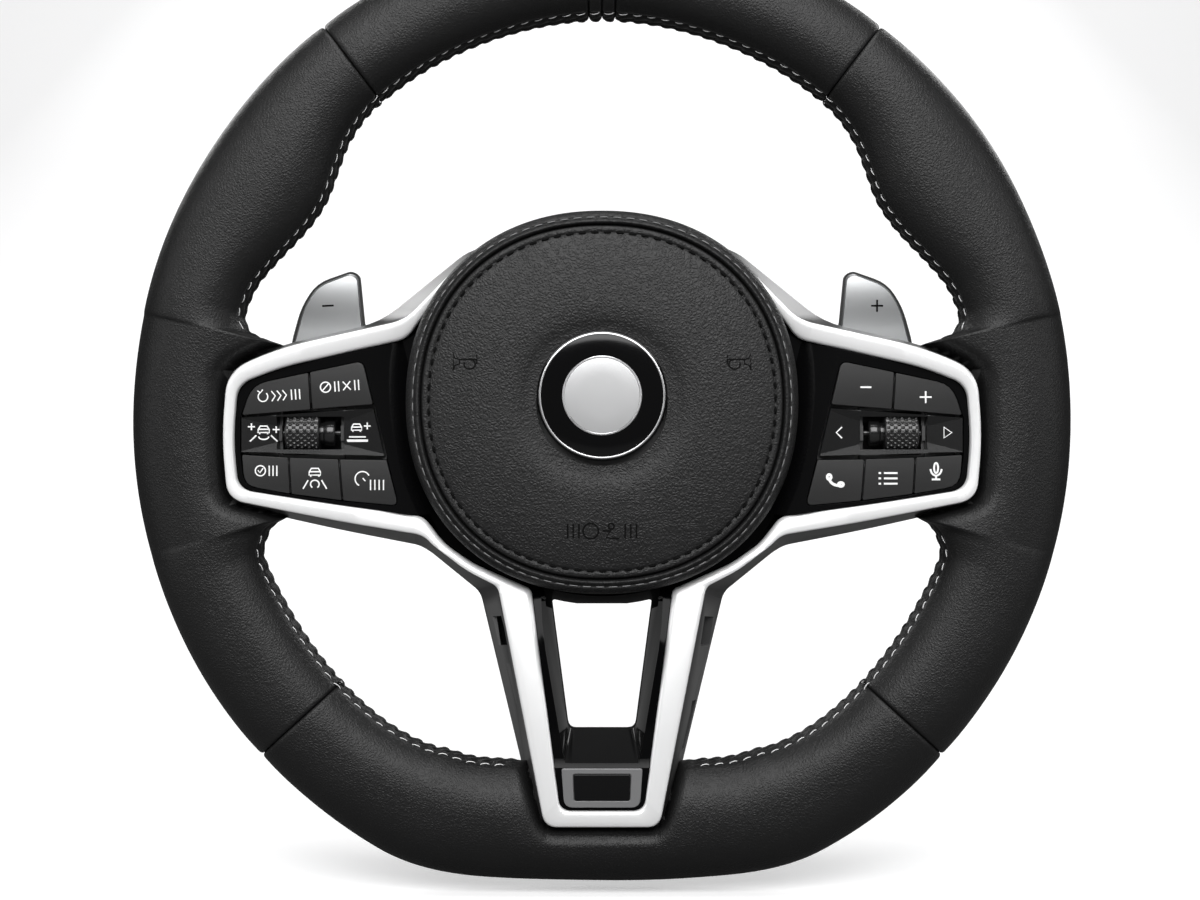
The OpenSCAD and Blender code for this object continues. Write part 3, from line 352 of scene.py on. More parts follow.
def refined(node, body, slot, kind, width, angle=32.0):
    """A copy of a solid with its triangles joined into flat faces, its edges softened by a bevel and its
    curved faces shaded smooth."""
    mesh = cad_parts[node].data.copy()
    mesh.name = node + "_skin"
    bm = bmesh.new()
    bm.from_mesh(mesh)
    bmesh.ops.remove_doubles(bm, verts=bm.verts, dist=2e-6)
    bmesh.ops.dissolve_limit(bm, angle_limit=math.radians(0.6), verts=bm.verts, edges=bm.edges)
    bm.to_mesh(mesh)
    bm.free()
    for layer in list(mesh.attributes):
        if layer.name.startswith("custom_normal"):
            mesh.attributes.remove(layer)
    mesh.shade_smooth()
    mesh.set_sharp_from_angle(angle=math.radians(angle))
    obj = bpy.data.objects.new(mesh.name, mesh)
    bpy.context.scene.collection.objects.link(obj)
    bevel = obj.modifiers.new("softened edges", "BEVEL")
    bevel.width = width * MM
    bevel.segments = 2
    bevel.limit_method = "ANGLE"
    bevel.angle_limit = math.radians(angle)
    bevel.harden_normals = True
    return own(obj, body, kind, [node])


# Materials

def node_group(name, inputs, outputs):
    """A shader node group with named number sockets, and its two end nodes."""
    group = bpy.data.node_groups.new(name, "ShaderNodeTree")
    for label, default in inputs:
        socket = group.interface.new_socket(name=label, in_out="INPUT", socket_type="NodeSocketFloat")
        socket.default_value = default
    for label in outputs:
        group.interface.new_socket(name=label, in_out="OUTPUT", socket_type="NodeSocketFloat")
    return group, group.nodes.new("NodeGroupInput"), group.nodes.new("NodeGroupOutput")


def noise(tree, place, scale, detail=2.0):
    """A noise texture over a piece's own coordinates."""
    node = tree.nodes.new("ShaderNodeTexNoise")
    node.inputs["Scale"].default_value = scale
    node.inputs["Detail"].default_value = detail
    tree.links.new(place.outputs["Object"], node.inputs["Vector"])
    return node


def blended(tree, first, second, mask):
    """A mix of two colours by a mask, where the first may come from another node."""
    node = tree.nodes.new("ShaderNodeMix")
    node.data_type = "RGBA"
    if isinstance(first, bpy.types.NodeSocket):
        tree.links.new(first, node.inputs["A"])
    else:
        node.inputs["A"].default_value = (*first, 1)
    node.inputs["B"].default_value = (*second, 1)
    tree.links.new(mask, node.inputs["Factor"])
    return node.outputs["Result"]


def grain_group():
    """Pebbled grain: the edges of small cells, broken up by finer noise, on a field of slow waves."""
    if "Grain" in bpy.data.node_groups:
        return bpy.data.node_groups["Grain"]
    group, given, result = node_group(
        "Grain", [("Cell density", 900.0), ("Crease share", 0.5)], ["Height", "Patches"])
    n, link = group.nodes, group.links.new
    place = n.new("ShaderNodeTexCoord")
    bent = n.new("ShaderNodeMixRGB")
    bent.blend_type = "LINEAR_LIGHT"
    bent.inputs["Fac"].default_value = 0.0016
    link(place.outputs["Object"], bent.inputs["Color1"])
    link(noise(group, place, 260).outputs["Color"], bent.inputs["Color2"])
    cells = n.new("ShaderNodeTexVoronoi")
    cells.feature = "DISTANCE_TO_EDGE"
    link(bent.outputs["Color"], cells.inputs["Vector"])
    link(given.outputs["Cell density"], cells.inputs["Scale"])
    ramp = n.new("ShaderNodeMapRange")
    ramp.inputs["From Max"].default_value = 0.35
    ramp.interpolation_type = "SMOOTHSTEP"
    link(cells.outputs["Distance"], ramp.inputs["Value"])
    mix = n.new("ShaderNodeMix")
    link(given.outputs["Crease share"], mix.inputs["Factor"])
    link(noise(group, place, 1900, 3).outputs["Fac"], mix.inputs["A"])
    link(ramp.outputs["Result"], mix.inputs["B"])
    link(mix.outputs["Result"], result.inputs["Height"])
    link(noise(group, place, 38, 4).outputs["Fac"], result.inputs["Patches"])
    return group


def speckle_group():
    """Fine moulded texture with faint patches, for plastic and painted faces."""
    if "Speckle" in bpy.data.node_groups:
        return bpy.data.node_groups["Speckle"]
    group, given, result = node_group("Speckle", [("Density", 2600.0)], ["Height", "Patches"])
    link = group.links.new
    place = group.nodes.new("ShaderNodeTexCoord")
    fine = noise(group, place, 2600)
    link(given.outputs["Density"], fine.inputs["Scale"])
    link(fine.outputs["Fac"], result.inputs["Height"])
    link(noise(group, place, 30).outputs["Fac"], result.inputs["Patches"])
    return group


def edge_highlight_group():
    """Painted edge highlight: how far the surface is more pointed than flat, times a sharpness. Sharp edges are
    painted lighter by it.
    """
    if "Edge wear" in bpy.data.node_groups:
        return bpy.data.node_groups["Edge wear"]
    group, given, result = node_group("Edge wear", [("Sharpness", 12.0)], ["Mask"])
    n, link = group.nodes, group.links.new
    geometry = n.new("ShaderNodeNewGeometry")
    edge = n.new("ShaderNodeMath")
    edge.operation = "SUBTRACT"
    edge.inputs[1].default_value = 0.5
    link(geometry.outputs["Pointiness"], edge.inputs[0])
    strong = n.new("ShaderNodeMath")
    strong.operation = "MULTIPLY"
    strong.use_clamp = True
    link(edge.outputs[0], strong.inputs[0])
    link(given.outputs["Sharpness"], strong.inputs[1])
    link(strong.outputs[0], result.inputs["Mask"])
    return group


def surface_material(name, colour, other, roughness, rougher, density, bump, depth,
                     crease=0.0, metallic=0.0, coat=0.0, specular=0.5, wear=0.0, worn=0.5):
    """A Principled surface whose colour and roughness drift over patches. Its relief is grain where a share of
    creases is given, and else fine speckle."""
    m = bpy.data.materials.new(name)
    m.use_nodes = True
    m.diffuse_color = (*colour, 1)
    tree = m.node_tree
    n, link = tree.nodes, tree.links.new
    shader = n["Principled BSDF"]
    shader.inputs["Metallic"].default_value = metallic
    shader.inputs["Coat Weight"].default_value = coat
    shader.inputs["Coat Roughness"].default_value = 0.05
    shader.inputs["Specular IOR Level"].default_value = specular
    texture = n.new("ShaderNodeGroup")
    if crease > 0:
        texture.node_tree = grain_group()
        texture.inputs["Cell density"].default_value = density
        texture.inputs["Crease share"].default_value = crease
    else:
        texture.node_tree = speckle_group()
        texture.inputs["Density"].default_value = density
    base = blended(tree, colour, other, texture.outputs["Patches"])
    # Sharp edges are painted lighter, towards the highlight tone: a painted edge highlight.
    if wear > 0:
        edges = n.new("ShaderNodeGroup")
        edges.node_tree = edge_highlight_group()
        edges.inputs["Sharpness"].default_value = wear
        base = blended(tree, base, (worn, worn, worn), edges.outputs["Mask"])
    link(base, shader.inputs["Base Color"])
    gloss = n.new("ShaderNodeMapRange")
    gloss.inputs["To Min"].default_value = roughness
    gloss.inputs["To Max"].default_value = rougher
    link(texture.outputs["Patches"], gloss.inputs["Value"])
    link(gloss.outputs["Result"], shader.inputs["Roughness"])
    raised = n.new("ShaderNodeBump")
    raised.inputs["Strength"].default_value = bump
    raised.inputs["Distance"].default_value = depth * MM
    link(texture.outputs["Height"], raised.inputs["Height"])
    link(raised.outputs["Normal"], shader.inputs["Normal"])
    return m


# For each finish: name, colour, colour of its patches, least and greatest roughness, density of its texture,
# strength and depth of its relief in millimetres, and what else differs from a plain surface. A colour is three
# numbers, or a field of WheelLooks with a factor
# wear and worn paint sharp edges lighter: a painted edge highlight.
FINISHES = {
    "leather": ("Rim leather", ("leather_colour", 1), ("leather_colour", 1.4), 0.4, 0.52, 800, 0.7, 0.18,
                dict(crease=0.6, specular=0.33)),
    "marker": ("Marker leather", ("leather_colour", 1.2), ("leather_colour", 1.6), 0.42, 0.52, 900, 0.5, 0.14,
               dict(crease=0.6, specular=0.4)),
    "cover": ("Cover skin", (0.006, 0.006, 0.0062), (0.0095, 0.0095, 0.0097), 0.42, 0.54, 700, 0.8, 0.22,
              dict(crease=0.75, specular=0.34)),
    "thread": ("Pale thread", (0.62, 0.62, 0.63), (0.8, 0.8, 0.8), 0.6, 0.75, 5000, 0.3, 0.05, {}),
    "cover thread": ("Grey thread", (0.16, 0.16, 0.165), (0.24, 0.24, 0.24), 0.6, 0.75, 5000, 0.3, 0.05, {}),
    "dark thread": ("Dark thread", (0.009, 0.009, 0.0092), (0.02, 0.02, 0.02), 0.5, 0.65, 5000, 0.3, 0.05, {}),
    # Near-black matte ribbons barely proud of the cover, standing in for the shade inside embossed grooves:
    # painted shade.
    "engraved": ("Engraved mark", (0.002, 0.002, 0.002), (0.003, 0.003, 0.003), 0.8, 0.9, 5000, 0.3, 0.05,
                 dict(specular=0.1)),
    "trim": ("Satin silver", ("trim_colour", 1), ("trim_colour", 0.97), 0.28, 0.37, 4200, 0.03, 0.03,
             dict(metallic=0.3, wear=3, worn=0.9)),
    "paddle face": ("Paddle silver", (0.36, 0.367, 0.372), (0.4, 0.407, 0.412), 0.3, 0.37, 3600, 0.05, 0.03,
                    dict(metallic=0.8)),
    "gloss": ("Gloss black", (0.0018, 0.0018, 0.002), (0.0025, 0.0025, 0.0027), 0.06, 0.1, 900, 0.004, 0.03,
              dict(specular=0.3)),
    "deep gloss": ("Deep gloss black", (0.0012, 0.0012, 0.0014), (0.0018, 0.0018, 0.002), 0.08, 0.12, 900,
                   0.004, 0.03, dict(specular=0.1)),
    "key": ("Key plastic", (0.0085, 0.0085, 0.0087), (0.011, 0.011, 0.0112), 0.42, 0.5, 3800, 0.2, 0.04,
            dict(wear=6, worn=0.04, specular=0.3)),
    "rocker": ("Rocker plastic", (0.006, 0.006, 0.0062), (0.008, 0.008, 0.0082), 0.2, 0.28, 3800, 0.1, 0.03,
               {}),
    "roller": ("Roller plastic", (0.006, 0.006, 0.0062), (0.009, 0.009, 0.0092), 0.18, 0.26, 3800, 0.1, 0.03,
               dict(coat=0.3)),
    "housing": ("Dark satin plastic", (0.022, 0.022, 0.0225), (0.029, 0.029, 0.0295), 0.3, 0.38, 3200, 0.12,
                0.04, dict(wear=6, worn=0.1)),
    "back plate": ("Back plate plastic", (0.007, 0.007, 0.0072), (0.009, 0.009, 0.0092), 0.36, 0.44, 3200,
                   0.12, 0.04, dict(specular=0.22)),
    "grey": ("Grey satin plastic", (0.2, 0.2, 0.204), (0.23, 0.23, 0.233), 0.34, 0.42, 3200, 0.1, 0.04,
             dict(metallic=0.4)),
    "sign": ("Printed white", (0.8, 0.8, 0.8), (0.86, 0.86, 0.86), 0.5, 0.6, 5200, 0.05, 0.02, {}),
    # The casting is near-black so that where it shows through the gaps between the trim and the insert it reads
    # as shade: painted shade.
    "casting": ("Cast metal", (0.022, 0.022, 0.0225), (0.03, 0.03, 0.0305), 0.6, 0.7, 1500, 0.5, 0.2,
                dict(specular=0.25)),
    "steel": ("Machined steel", (0.5, 0.5, 0.51), (0.56, 0.56, 0.57), 0.28, 0.36, 2400, 0.15, 0.05,
              dict(metallic=1.0, wear=4, worn=0.8)),
    "foam": ("Moulded foam", (0.02, 0.02, 0.02), (0.03, 0.03, 0.03), 0.7, 0.8, 1800, 0.5, 0.2, {}),
    "roundel": ("Plain roundel", (0.5, 0.505, 0.51), (0.55, 0.55, 0.555), 0.3, 0.36, 3600, 0.05, 0.03,
                dict(metallic=0.5)),
    "board": ("Circuit board", (0.02, 0.09, 0.035), (0.03, 0.12, 0.05), 0.4, 0.5, 900, 0.2, 0.05, {}),
    "fabric": ("Woven airbag", (0.6, 0.6, 0.58), (0.66, 0.66, 0.64), 0.8, 0.9, 2000, 0.6, 0.2, {}),
}


def finish(kind):
    """One of the wheel's finishes, made when it is first asked for."""
    looks = bpy.context.scene.wheel_looks
    name, *colours, roughness, rougher, density, bump, depth, more = FINISHES[kind]
    if name in bpy.data.materials:
        return bpy.data.materials[name]
    colour, other = [
        tuple(c * entry[1] for c in getattr(looks, entry[0])) if isinstance(entry[0], str) else entry
        for entry in colours
    ]
    return surface_material(name, colour, other, roughness, rougher, density, bump, depth, **more)


# Rim

def panel_angles(a, b, step=0.26):
    """Rim angles from a to b, closer together at the two seams and where the spokes meet the rim."""
    t = np.linspace(a, b, max(int((b - a) / step), 8))
    close = np.array([0.0, 0.06, 0.14, 0.24, 0.36, 0.5])
    parts = [a + close, t[(t > a + 0.56) & (t < b - 0.56)], b - close]
    for lo, hi in SPOKE_SPANS:
        for span in ((lo, hi), (360 - hi, 360 - lo)):
            dense = np.arange(*span, 0.06)
            parts.append(dense[(dense > a + 0.6) & (dense < b - 0.6)])
    return np.unique(np.round(np.concatenate(parts), 4))


def section_angles():
    """Section angles, close together at the inner seam line."""
    return np.concatenate([np.arange(-40, 41, 2.0) + 180, np.linspace(225, 495, 50)])


def arc_along(t):
    """Length along the rim's inner line at angle t, in millimetres."""
    dense = np.linspace(-190, 380, 4561)
    p = rim_surface(dense, np.full_like(dense, 180.0))
    return np.interp(t, dense, lengths(p))


def seam_relief(side, wave):
    """Rise of the leather at a distance from the sewn inner line: a groove on the line, a bulge that grows
    between stitches, a dent under each thread and a low swell beyond it. The wave is 1 between stitches."""
    push = -0.9 * bell(side, 0, 0.8)
    push += (0.5 * wave + 0.05) * bell(side, 2.1, 1.2)
    push -= (0.25 + 0.3 * (1 - wave)) * bell(side, 4.5, 0.8)
    push += 0.12 * bell(side, 6.4, 1.2)
    return push


def end_relief(end):
    """Fall of the leather at a distance from a panel's end: a quarter circle down to the seam, and a shallow
    pull beside it."""
    roll = np.clip(1 - end / 1.9, 0, 1)
    return 1.5 * (1 - np.sqrt(1 - roll ** 2)) + 0.22 * bell(end, 0, 7.0)


def leather_panel(name, a, b):
    """One sewn leather panel: the rim's surface, pulled in at both seams, with a sewn groove along its inner
    line and a pucker between every two stitches."""
    t = panel_angles(a, b)
    s = section_angles()
    tt, ss = np.meshgrid(t, s, indexing="ij")
    p = rim_surface(tt, ss)
    around = rim_surface(tt, ss + 0.5) - rim_surface(tt, ss - 0.5)
    n = np.cross(around, rim_surface(tt + 0.2, ss) - rim_surface(tt - 0.2, ss))
    n = unit(n)
    n *= np.sign(np.einsum("ijk,ijk->i", n, p - p.mean(1, keepdims=True)))[:, None, None]
    q = np.radians(np.mod(ss, 360) - 180) * INNER_R
    arc = arc_along(tt)
    wave = 0.5 + 0.5 * np.cos(2 * np.pi * arc / STITCH)
    along = lengths(rim_edge(t))
    end = np.minimum(along, along[-1] - along)[:, None]
    push = seam_relief(np.abs(q), wave) - end_relief(end)
    rng = np.random.default_rng(7)
    for _ in range(9):
        fa, fb, ph = rng.uniform(0.03, 0.11), rng.integers(1, 5), rng.uniform(0, 6.28)
        push += 0.045 * np.sin(fa * arc + fb * np.radians(ss) + ph)
    gap = distance_to(TUCK, p[..., 0], p[..., 2])
    push *= smooth((gap - 1) / 6)
    p = p + n * push[..., None]
    centre = p.mean(1, keepdims=True)
    closing = np.array([0.9, 0.5, 0.02])[:, None, None]
    first = centre[:1] + (p[:1] - centre[:1]) * closing
    last = centre[-1:] + (p[-1:] - centre[-1:]) * closing
    p = np.concatenate([first[::-1], p, last])
    return band(name, p, closed=False)


def rim_threads(name, side, start, reach, radius, lift):
    """Threads on one side of the sewn inner line, one to a stitch, at a slight slant to the line. The middle of
    each is lifted off the leather and its ends go under."""
    total = arc_along(np.array([0.0, 360.0]))
    length = total[1] - total[0]
    count = int(round(length / STITCH))
    table_t = np.linspace(0, 360, 5000)
    table_a = arc_along(table_t) - total[0]
    u = np.linspace(0, 1, 9)[None]
    before, length_of_thread = 0.9, 3.9
    a = (np.arange(count) * STITCH)[:, None] + before + u * length_of_thread
    t = np.interp(np.mod(a, length), table_a, table_t)
    q = start + reach * u + 0 * a
    s = 180 + side * np.degrees(q / INNER_R)
    p = rim_surface(t, s)
    d = unit(rim_surface(t, s, lift=1.0) - p)
    p = p + d * (lift - 0.75 * np.abs(2 * u - 1) ** 3)[..., None]
    gap = distance_to(TUCK, p[..., 0], p[..., 2]).min(1)
    return many_tubes(name, p[gap > 6.5], radius)


# Airbag cover

def cover_ring(angle, share):
    """A ring of the cover's superellipse outline, shrunk to a share of its size."""
    return (share * COVER_W / 2 * blunt(np.cos(angle), COVER_POWER),
            COVER_CZ + share * COVER_H / 2 * blunt(np.sin(angle), COVER_POWER))


def cover_depth(share):
    """Depth of the cover's face at a share of its outline: the rolled border, the piping, the groove and the
    cushioned middle with its dish."""
    table = np.array([
        (0.30, -75.5), (0.345, -75.6), (0.385, -75.95), (0.43, -76.75), (0.475, -77.1), (0.52, -77.15),
        (0.62, -76.8), (0.72, -76.1), (0.8, -75.3), (0.845, -74.7), (0.866, -74.3), (0.8765, -73.85),
        (0.888, -74.25), (0.903, -74.15), (0.911, -73.6), (0.916, -72.4), (0.9185, -71.6), (0.921, -72.3),
        (0.926, -73.4), (0.934, -74.0), (0.943, -73.7), (0.951, -72.9), (0.957, -72.55), (0.966, -72.6),
        (0.978, -71.9), (0.99, -70.7), (0.9975, -69.3), (1.0, -68.0),
    ])
    return hermite(table, share)


def cover_surface(name, shares, closing):
    """The cover's face as rings of its outline, with a back at constant depth."""
    a = np.linspace(0, 2 * np.pi, 288, endpoint=False)
    rows = []
    for share, depth in [*zip(shares, cover_depth(shares)), *closing]:
        x, z = cover_ring(a, share)
        rows.append(np.stack([x, np.full_like(x, depth), z], -1))
    return band(name, np.array(rows), closed=True, sharp=50)


def cover_threads(name, share, pitch, dash, lift, radius):
    """Dashes of thread round the cover at a share of its outline."""
    dense = np.linspace(0, 2 * np.pi, 4001)
    x, z = cover_ring(dense, share)
    arc = np.concatenate([[0], np.cumsum(np.hypot(np.diff(x), np.diff(z)))])
    count = int(round(arc[-1] / pitch))
    step = arc[-1] / count
    u = np.linspace(0, 1, 8)[None]
    s = np.arange(count)[:, None] * step + u * dash
    a = np.interp(np.mod(s, arc[-1]), arc, dense)
    px, pz = cover_ring(a, share)
    y = float(cover_depth(np.array([share]))[0]) - lift * (1 - np.abs(2 * u - 1) ** 2.5) + 0.25 + 0 * px
    return many_tubes(name, np.stack([px, y, pz], -1), radius)


# Signs on keys

def key_face(middle):
    """Depth of a key's face: a cylinder with its line of touch at the height of the key's middle."""
    return lambda x, z: KEY_FRONT + KEY_CROWN - np.sqrt(KEY_CROWN ** 2 - (z - middle) ** 2)


def rocker_edges(x):
    """Upper and lower edge of a rocker at x, and the height of its wedges, which grows towards the wheel."""
    x = -np.abs(x)
    wedge = np.interp(x, (-142.5, *ROCKER_WINDOW[:2], -88.5), (0.3, 4.3, 4.3, 0.3))
    top, low = [np.interp(x, edge[::2], edge[1::2]) for edge in (ROCKER_TOP, ROCKER_LOW)]
    return top, low, wedge


def rocker_face(x, z):
    """Depth of a rocker's front: it slopes in from the long edges to a hollow, deepest at the wheel."""
    top, low, wedge = rocker_edges(x)
    return ROCKER_FRONT + ROCKER_SLOPE * np.minimum(np.minimum(z - low, top - z), wedge)


def rocker_piece(name, side):
    """A rocker as four blocks round the wheel's window, with its two stems. The slant of its inner end is the
    last number of its block."""
    parts = []
    a, b, z0, z1 = ROCKER_WINDOW
    inset = 0.25
    for start, stop, slant in ((ROCKER_TOP[0], a, 0.0), (b, ROCKER_TOP[2], 0.2263)):
        x = np.linspace(start, stop, 10)[:, None]
        top, low, wedge = rocker_edges(x)
        up = np.array([0, 0.06, 0.35, 0.7, 1.0])
        hollow = low + wedge + (top - low - 2 * wedge) * np.array([0.25, 0.5, 0.75])
        z = np.concatenate([low + wedge * up, hollow, top - wedge * up[::-1]], 1)
        y = rocker_face(x + 0 * z, z)
        y[:, [0, -1]] += inset
        leaning = x + slant * (ROCKER_TOP[3] - z) * (x - start) / (stop - start)
        parts.append(relief(leaning, z, y, ROCKER_BACK))
    x = np.linspace(a, b, 12)[:, None]
    top, low, _ = rocker_edges(x)
    for z in ((low, low + inset, z0 + 0 * x), (z1 + 0 * x, top - inset, top)):
        z = np.concatenate(z, 1)
        parts.append(relief(x + 0 * z, z, rocker_face(x + 0 * z, z), ROCKER_BACK))
    turn = np.linspace(0, 2 * np.pi, 13)[None]
    for place in (-136.5, -95.5):
        r = np.array([[0.02], [2.2]])
        parts.append(relief(place + r * np.cos(turn), AXIS_Z + r * np.sin(turn), -63.5 + 0 * r * turn, -59.2))
    verts, faces = joined(parts)
    return add_mesh(name, verts * (side, 1, 1), faces, sharp=14)


def ring_line(cx, cy, rx, ry, a, b, n=24):
    """Points of an arc from angle a to b in degrees."""
    t = np.radians(np.linspace(a, b, n))
    return np.stack([cx + rx * np.cos(t), cy + ry * np.sin(t)], 1)


def line(*points):
    """A stroke of a sign through (across, up) points."""
    return np.array(points, float)


def ticks(places, h=1.9):
    """Upright strokes at the given places."""
    return [line((x, -h), (x, h)) for x in places]


def car_sign(cx, cy, s):
    """A small car seen from behind: its body, window and two tyres."""
    half = [(2, -0.6), (1.9, 0.5), (1.2, 1.7)]
    body = [(-x, y) for x, y in half] + half[::-1] + [(-2, -0.6)]
    strokes = [body, [(-1.7, 0.55), (1.7, 0.55)], [(-1.4, -0.6), (-1.4, -1.1)], [(1.4, -0.6), (1.4, -1.1)]]
    return [np.array(stroke) * s + (cx, cy) for stroke in strokes]


def plus_sign(cx, cy, r):
    """A plus of two strokes."""
    return [line((cx - r, cy), (cx + r, cy)), line((cx, cy - r), (cx, cy + r))]


def add_sign(name, body, strokes, at, face, width=0.5, lift=0.05, tilt=0.0, kind="sign", slot="grey_plastic"):
    """A sign laid on a face: each stroke is a ribbon of even width. With the printed white finish it is print;
    with the painted groove shade finish it is painted shade standing in for an embossed groove.
    """
    verts, faces = [], []
    ca, sa = math.cos(math.radians(tilt)), math.sin(math.radians(tilt))
    for stroke in strokes:
        p = np.array(stroke, float)
        if len(p) > 2:
            seg = np.linalg.norm(np.diff(p, axis=0), axis=1)
            p = p[np.concatenate([[True], seg > 1e-6])]
        closed = len(p) > 3 and np.allclose(p[0], p[-1])
        d = unit(np.gradient(p, axis=0))
        if closed:
            d[0] = d[-1] = unit(d[0] + d[-1])
        else:
            p[0] -= d[0] * width * 0.25
            p[-1] += d[-1] * width * 0.25
        n = np.stack([-d[:, 1], d[:, 0]], 1) * width / 2
        rim = np.concatenate([p + n, p - n])
        x = rim[:, 0] * ca - rim[:, 1] * sa + at[0]
        z = rim[:, 0] * sa + rim[:, 1] * ca + at[1]
        m, first = len(p), len(verts)
        for shift in (-lift, 0.06):
            verts += np.stack([x, face(x, z) + shift, z], 1).tolist()
        top = 2 * m
        for a in range(first, first + m - 1):
            b, c, e = a + 1, a + m + 1, a + m
            faces += [[a, b, c, e], [a + top, e + top, c + top, b + top]]
            faces += [[a, a + top, b + top, b], [e, c, c + top, e + top]]
        faces += [[first, first + m, first + 3 * m, first + top],
                  [first + m - 1, first + 3 * m - 1, first + 4 * m - 1, first + top - 1]]
    obj = add_mesh(name, verts, faces, smooth_shading=False)
    return own(obj, body, kind)


# Sizes and colours

class WheelLooks(bpy.types.PropertyGroup):
    """Sizes and colours that a user may change."""

    leather_colour: bpy.props.FloatVectorProperty(
        name="Leather", description="Colour of the rim's leather", subtype="COLOR", size=3, min=0, max=1,
        default=(0.0045, 0.0045, 0.0046))
    trim_colour: bpy.props.FloatVectorProperty(
        name="Trim", description="Colour of the bright trim", subtype="COLOR", size=3, min=0, max=1,
        default=(0.8, 0.802, 0.805))
    floor_colour: bpy.props.FloatVectorProperty(
        name="Floor", description="Colour of the studio floor", subtype="COLOR", size=3, min=0, max=1,
        default=(0.8, 0.8, 0.805))
    floor_drop: bpy.props.FloatProperty(
        name="Floor drop", description="Distance of the floor below the rim", unit="LENGTH", min=0, max=0.1,
        default=0.004)


class WHEEL_OT_rim(bpy.types.Operator):
    """Sews the leather rim from its seven panels, with threads along its inner line"""

    bl_idname = "wheel.rim"
    bl_label = "Leather rim"

    def execute(self, context):
        panels = [
            ("leather_top_left", -SEAM_HIGH, -MARKER, "leather", "leather"),
            ("leather_marker_left", -MARKER, 0, "marker", "marker_leather"),
            ("leather_marker_right", 0, MARKER, "marker", "marker_leather"),
            ("leather_top_right", MARKER, SEAM_HIGH, "leather", "leather"),
            ("leather_right", SEAM_HIGH, SEAM_LOW, "leather", "leather"),
            ("leather_bottom", SEAM_LOW, 360 - SEAM_LOW, "leather", "leather"),
            ("leather_left", 360 - SEAM_LOW, 360 - SEAM_HIGH, "leather", "leather"),
        ]
        for node, a, b, kind, slot in panels:
            own(leather_panel("sewn_" + node, a, b), WHEEL, kind, [node])
        for place, side in (("front", 1), ("back", -1)):
            own(rim_threads("rim_threads_" + place, side, 3.9, 0.9, 0.19, 0.0), WHEEL, "thread")
            own(rim_threads("rim_cords_" + place, side, 0.7, 1.9, 0.34, 0.35), WHEEL, "dark thread")
        around = np.unique(np.concatenate([panel_angles(0, 180, 1.0), panel_angles(180, 359, 1.0)]))
        t, s = np.meshgrid(around, np.arange(0, 360, 7.5), indexing="ij")
        core = add_mesh("rim_core", rim_surface(t, s, lift=-2.6).reshape(-1, 3),
                        grid_faces(*t.shape, wrap_rows=True, wrap_cols=True))
        own(core, WHEEL, "foam", ["rim_foam"])
        return {"FINISHED"}


class WHEEL_OT_cover(bpy.types.Operator):
    """Makes the airbag cover with its border, piping, stitched edge and cushioned middle"""

    bl_idname = "wheel.cover"
    bl_label = "Airbag cover"

    def execute(self, context):
        shares = np.concatenate([np.linspace(0.9187, 0.96, 22), np.linspace(0.9635, 1.0, 14)])
        back = [(1.0, -66.8), (0.994, -66.1), (0.97, -66.0), (0.96, -70.2), (0.92, -70.4)]
        border = cover_surface("cover_border_skin", shares, back)
        own(border, MODULE, "cover", ["cover_border"])
        shares = np.concatenate([[0.331, 0.34], np.linspace(0.35, 0.84, 60), np.linspace(0.845, 0.9183, 30)])
        middle = cover_surface("cover_panel_skin", shares, [(0.9183, -70.6), (0.331, -73.2)])
        own(middle, MODULE, "cover", ["cover_panel"])
        outer = cover_threads("cover_threads_outer", 0.9585, 5.2, 3.7, 0.55, 0.2)
        own(outer, MODULE, "cover thread")
        inner = cover_threads("cover_threads_inner", 0.8765, 4.9, 3.1, 0.62, 0.4)
        # The inner stitches lie in the cover's groove and take the near-black groove finish: partly dark thread,
        # partly painted shade of the groove.
        own(inner, MODULE, "engraved")
        refined("cover_shell", MODULE, "dark_plastic", "housing", 0.3)
        horn = [
            line((-4.8, 3.4), (-4.2, 1.4), (-2.4, 0.9), (-2.4, -0.9), (-4.2, -1.4), (-4.8, -3.4), (-4.8, 3.4)),
            line((-2.4, 0.9), (4.4, 0.9), (4.4, 2.6)), line((4.4, 0.9), (4.4, -0.8)),
            ring_line(1.6, -1.0, 2.2, 1.9, 90, -200),
        ]
        cushion = [
            ring_line(-4.4, 0, 3.0, 3.0, 0, 360, 28), ring_line(3.6, 1.9, 1.1, 1.1, 0, 360, 14),
            line((3.4, 0.4), (1.6, -2.6), (6.4, -2.9)), line((0.4, 0.2), (2.8, 0.0)),
        ] + ticks((-13.4, -11.2, -9.0, 9.0, 11.2, 13.4), 2.6)
        marks = (
            ("horn_mark_left", horn, (-53.2, 13.2), 0.6),
            ("horn_mark_right", [stroke * (-1, 1) for stroke in horn], (53.2, 13.2), 0.6),
            ("cushion_mark", cushion, (0, -52.8), 0.7),
        )
        # Each mark is a near-black ribbon only 0.03 mm proud of the cover: painted shade standing in for an
        # embossed groove.
        for name, strokes, at, width in marks:
            add_sign(name, MODULE, strokes, at, cover_face, width, 0.03, kind="engraved", slot="cover_skin")
        return {"FINISHED"}


def cover_face(x, z):
    """Depth of the cover's face at points of the wheel's plane."""
    across, up = np.abs(x) / (COVER_W / 2), np.abs(z - COVER_CZ) / (COVER_H / 2)
    return cover_depth((across ** COVER_POWER + up ** COVER_POWER) ** (1 / COVER_POWER))


def turned_piece(name, profile):
    """A profile of (radius, depth) points turned round the hub axis, closed on itself."""
    a = np.linspace(0, 2 * np.pi, 128, endpoint=False)
    p = np.array(profile, float)
    r, y = p[:, 0][:, None], p[:, 1][:, None]
    return band(name, np.stack([r * np.cos(a), y + 0 * a, r * np.sin(a)], -1), closed=True, sharp=35)


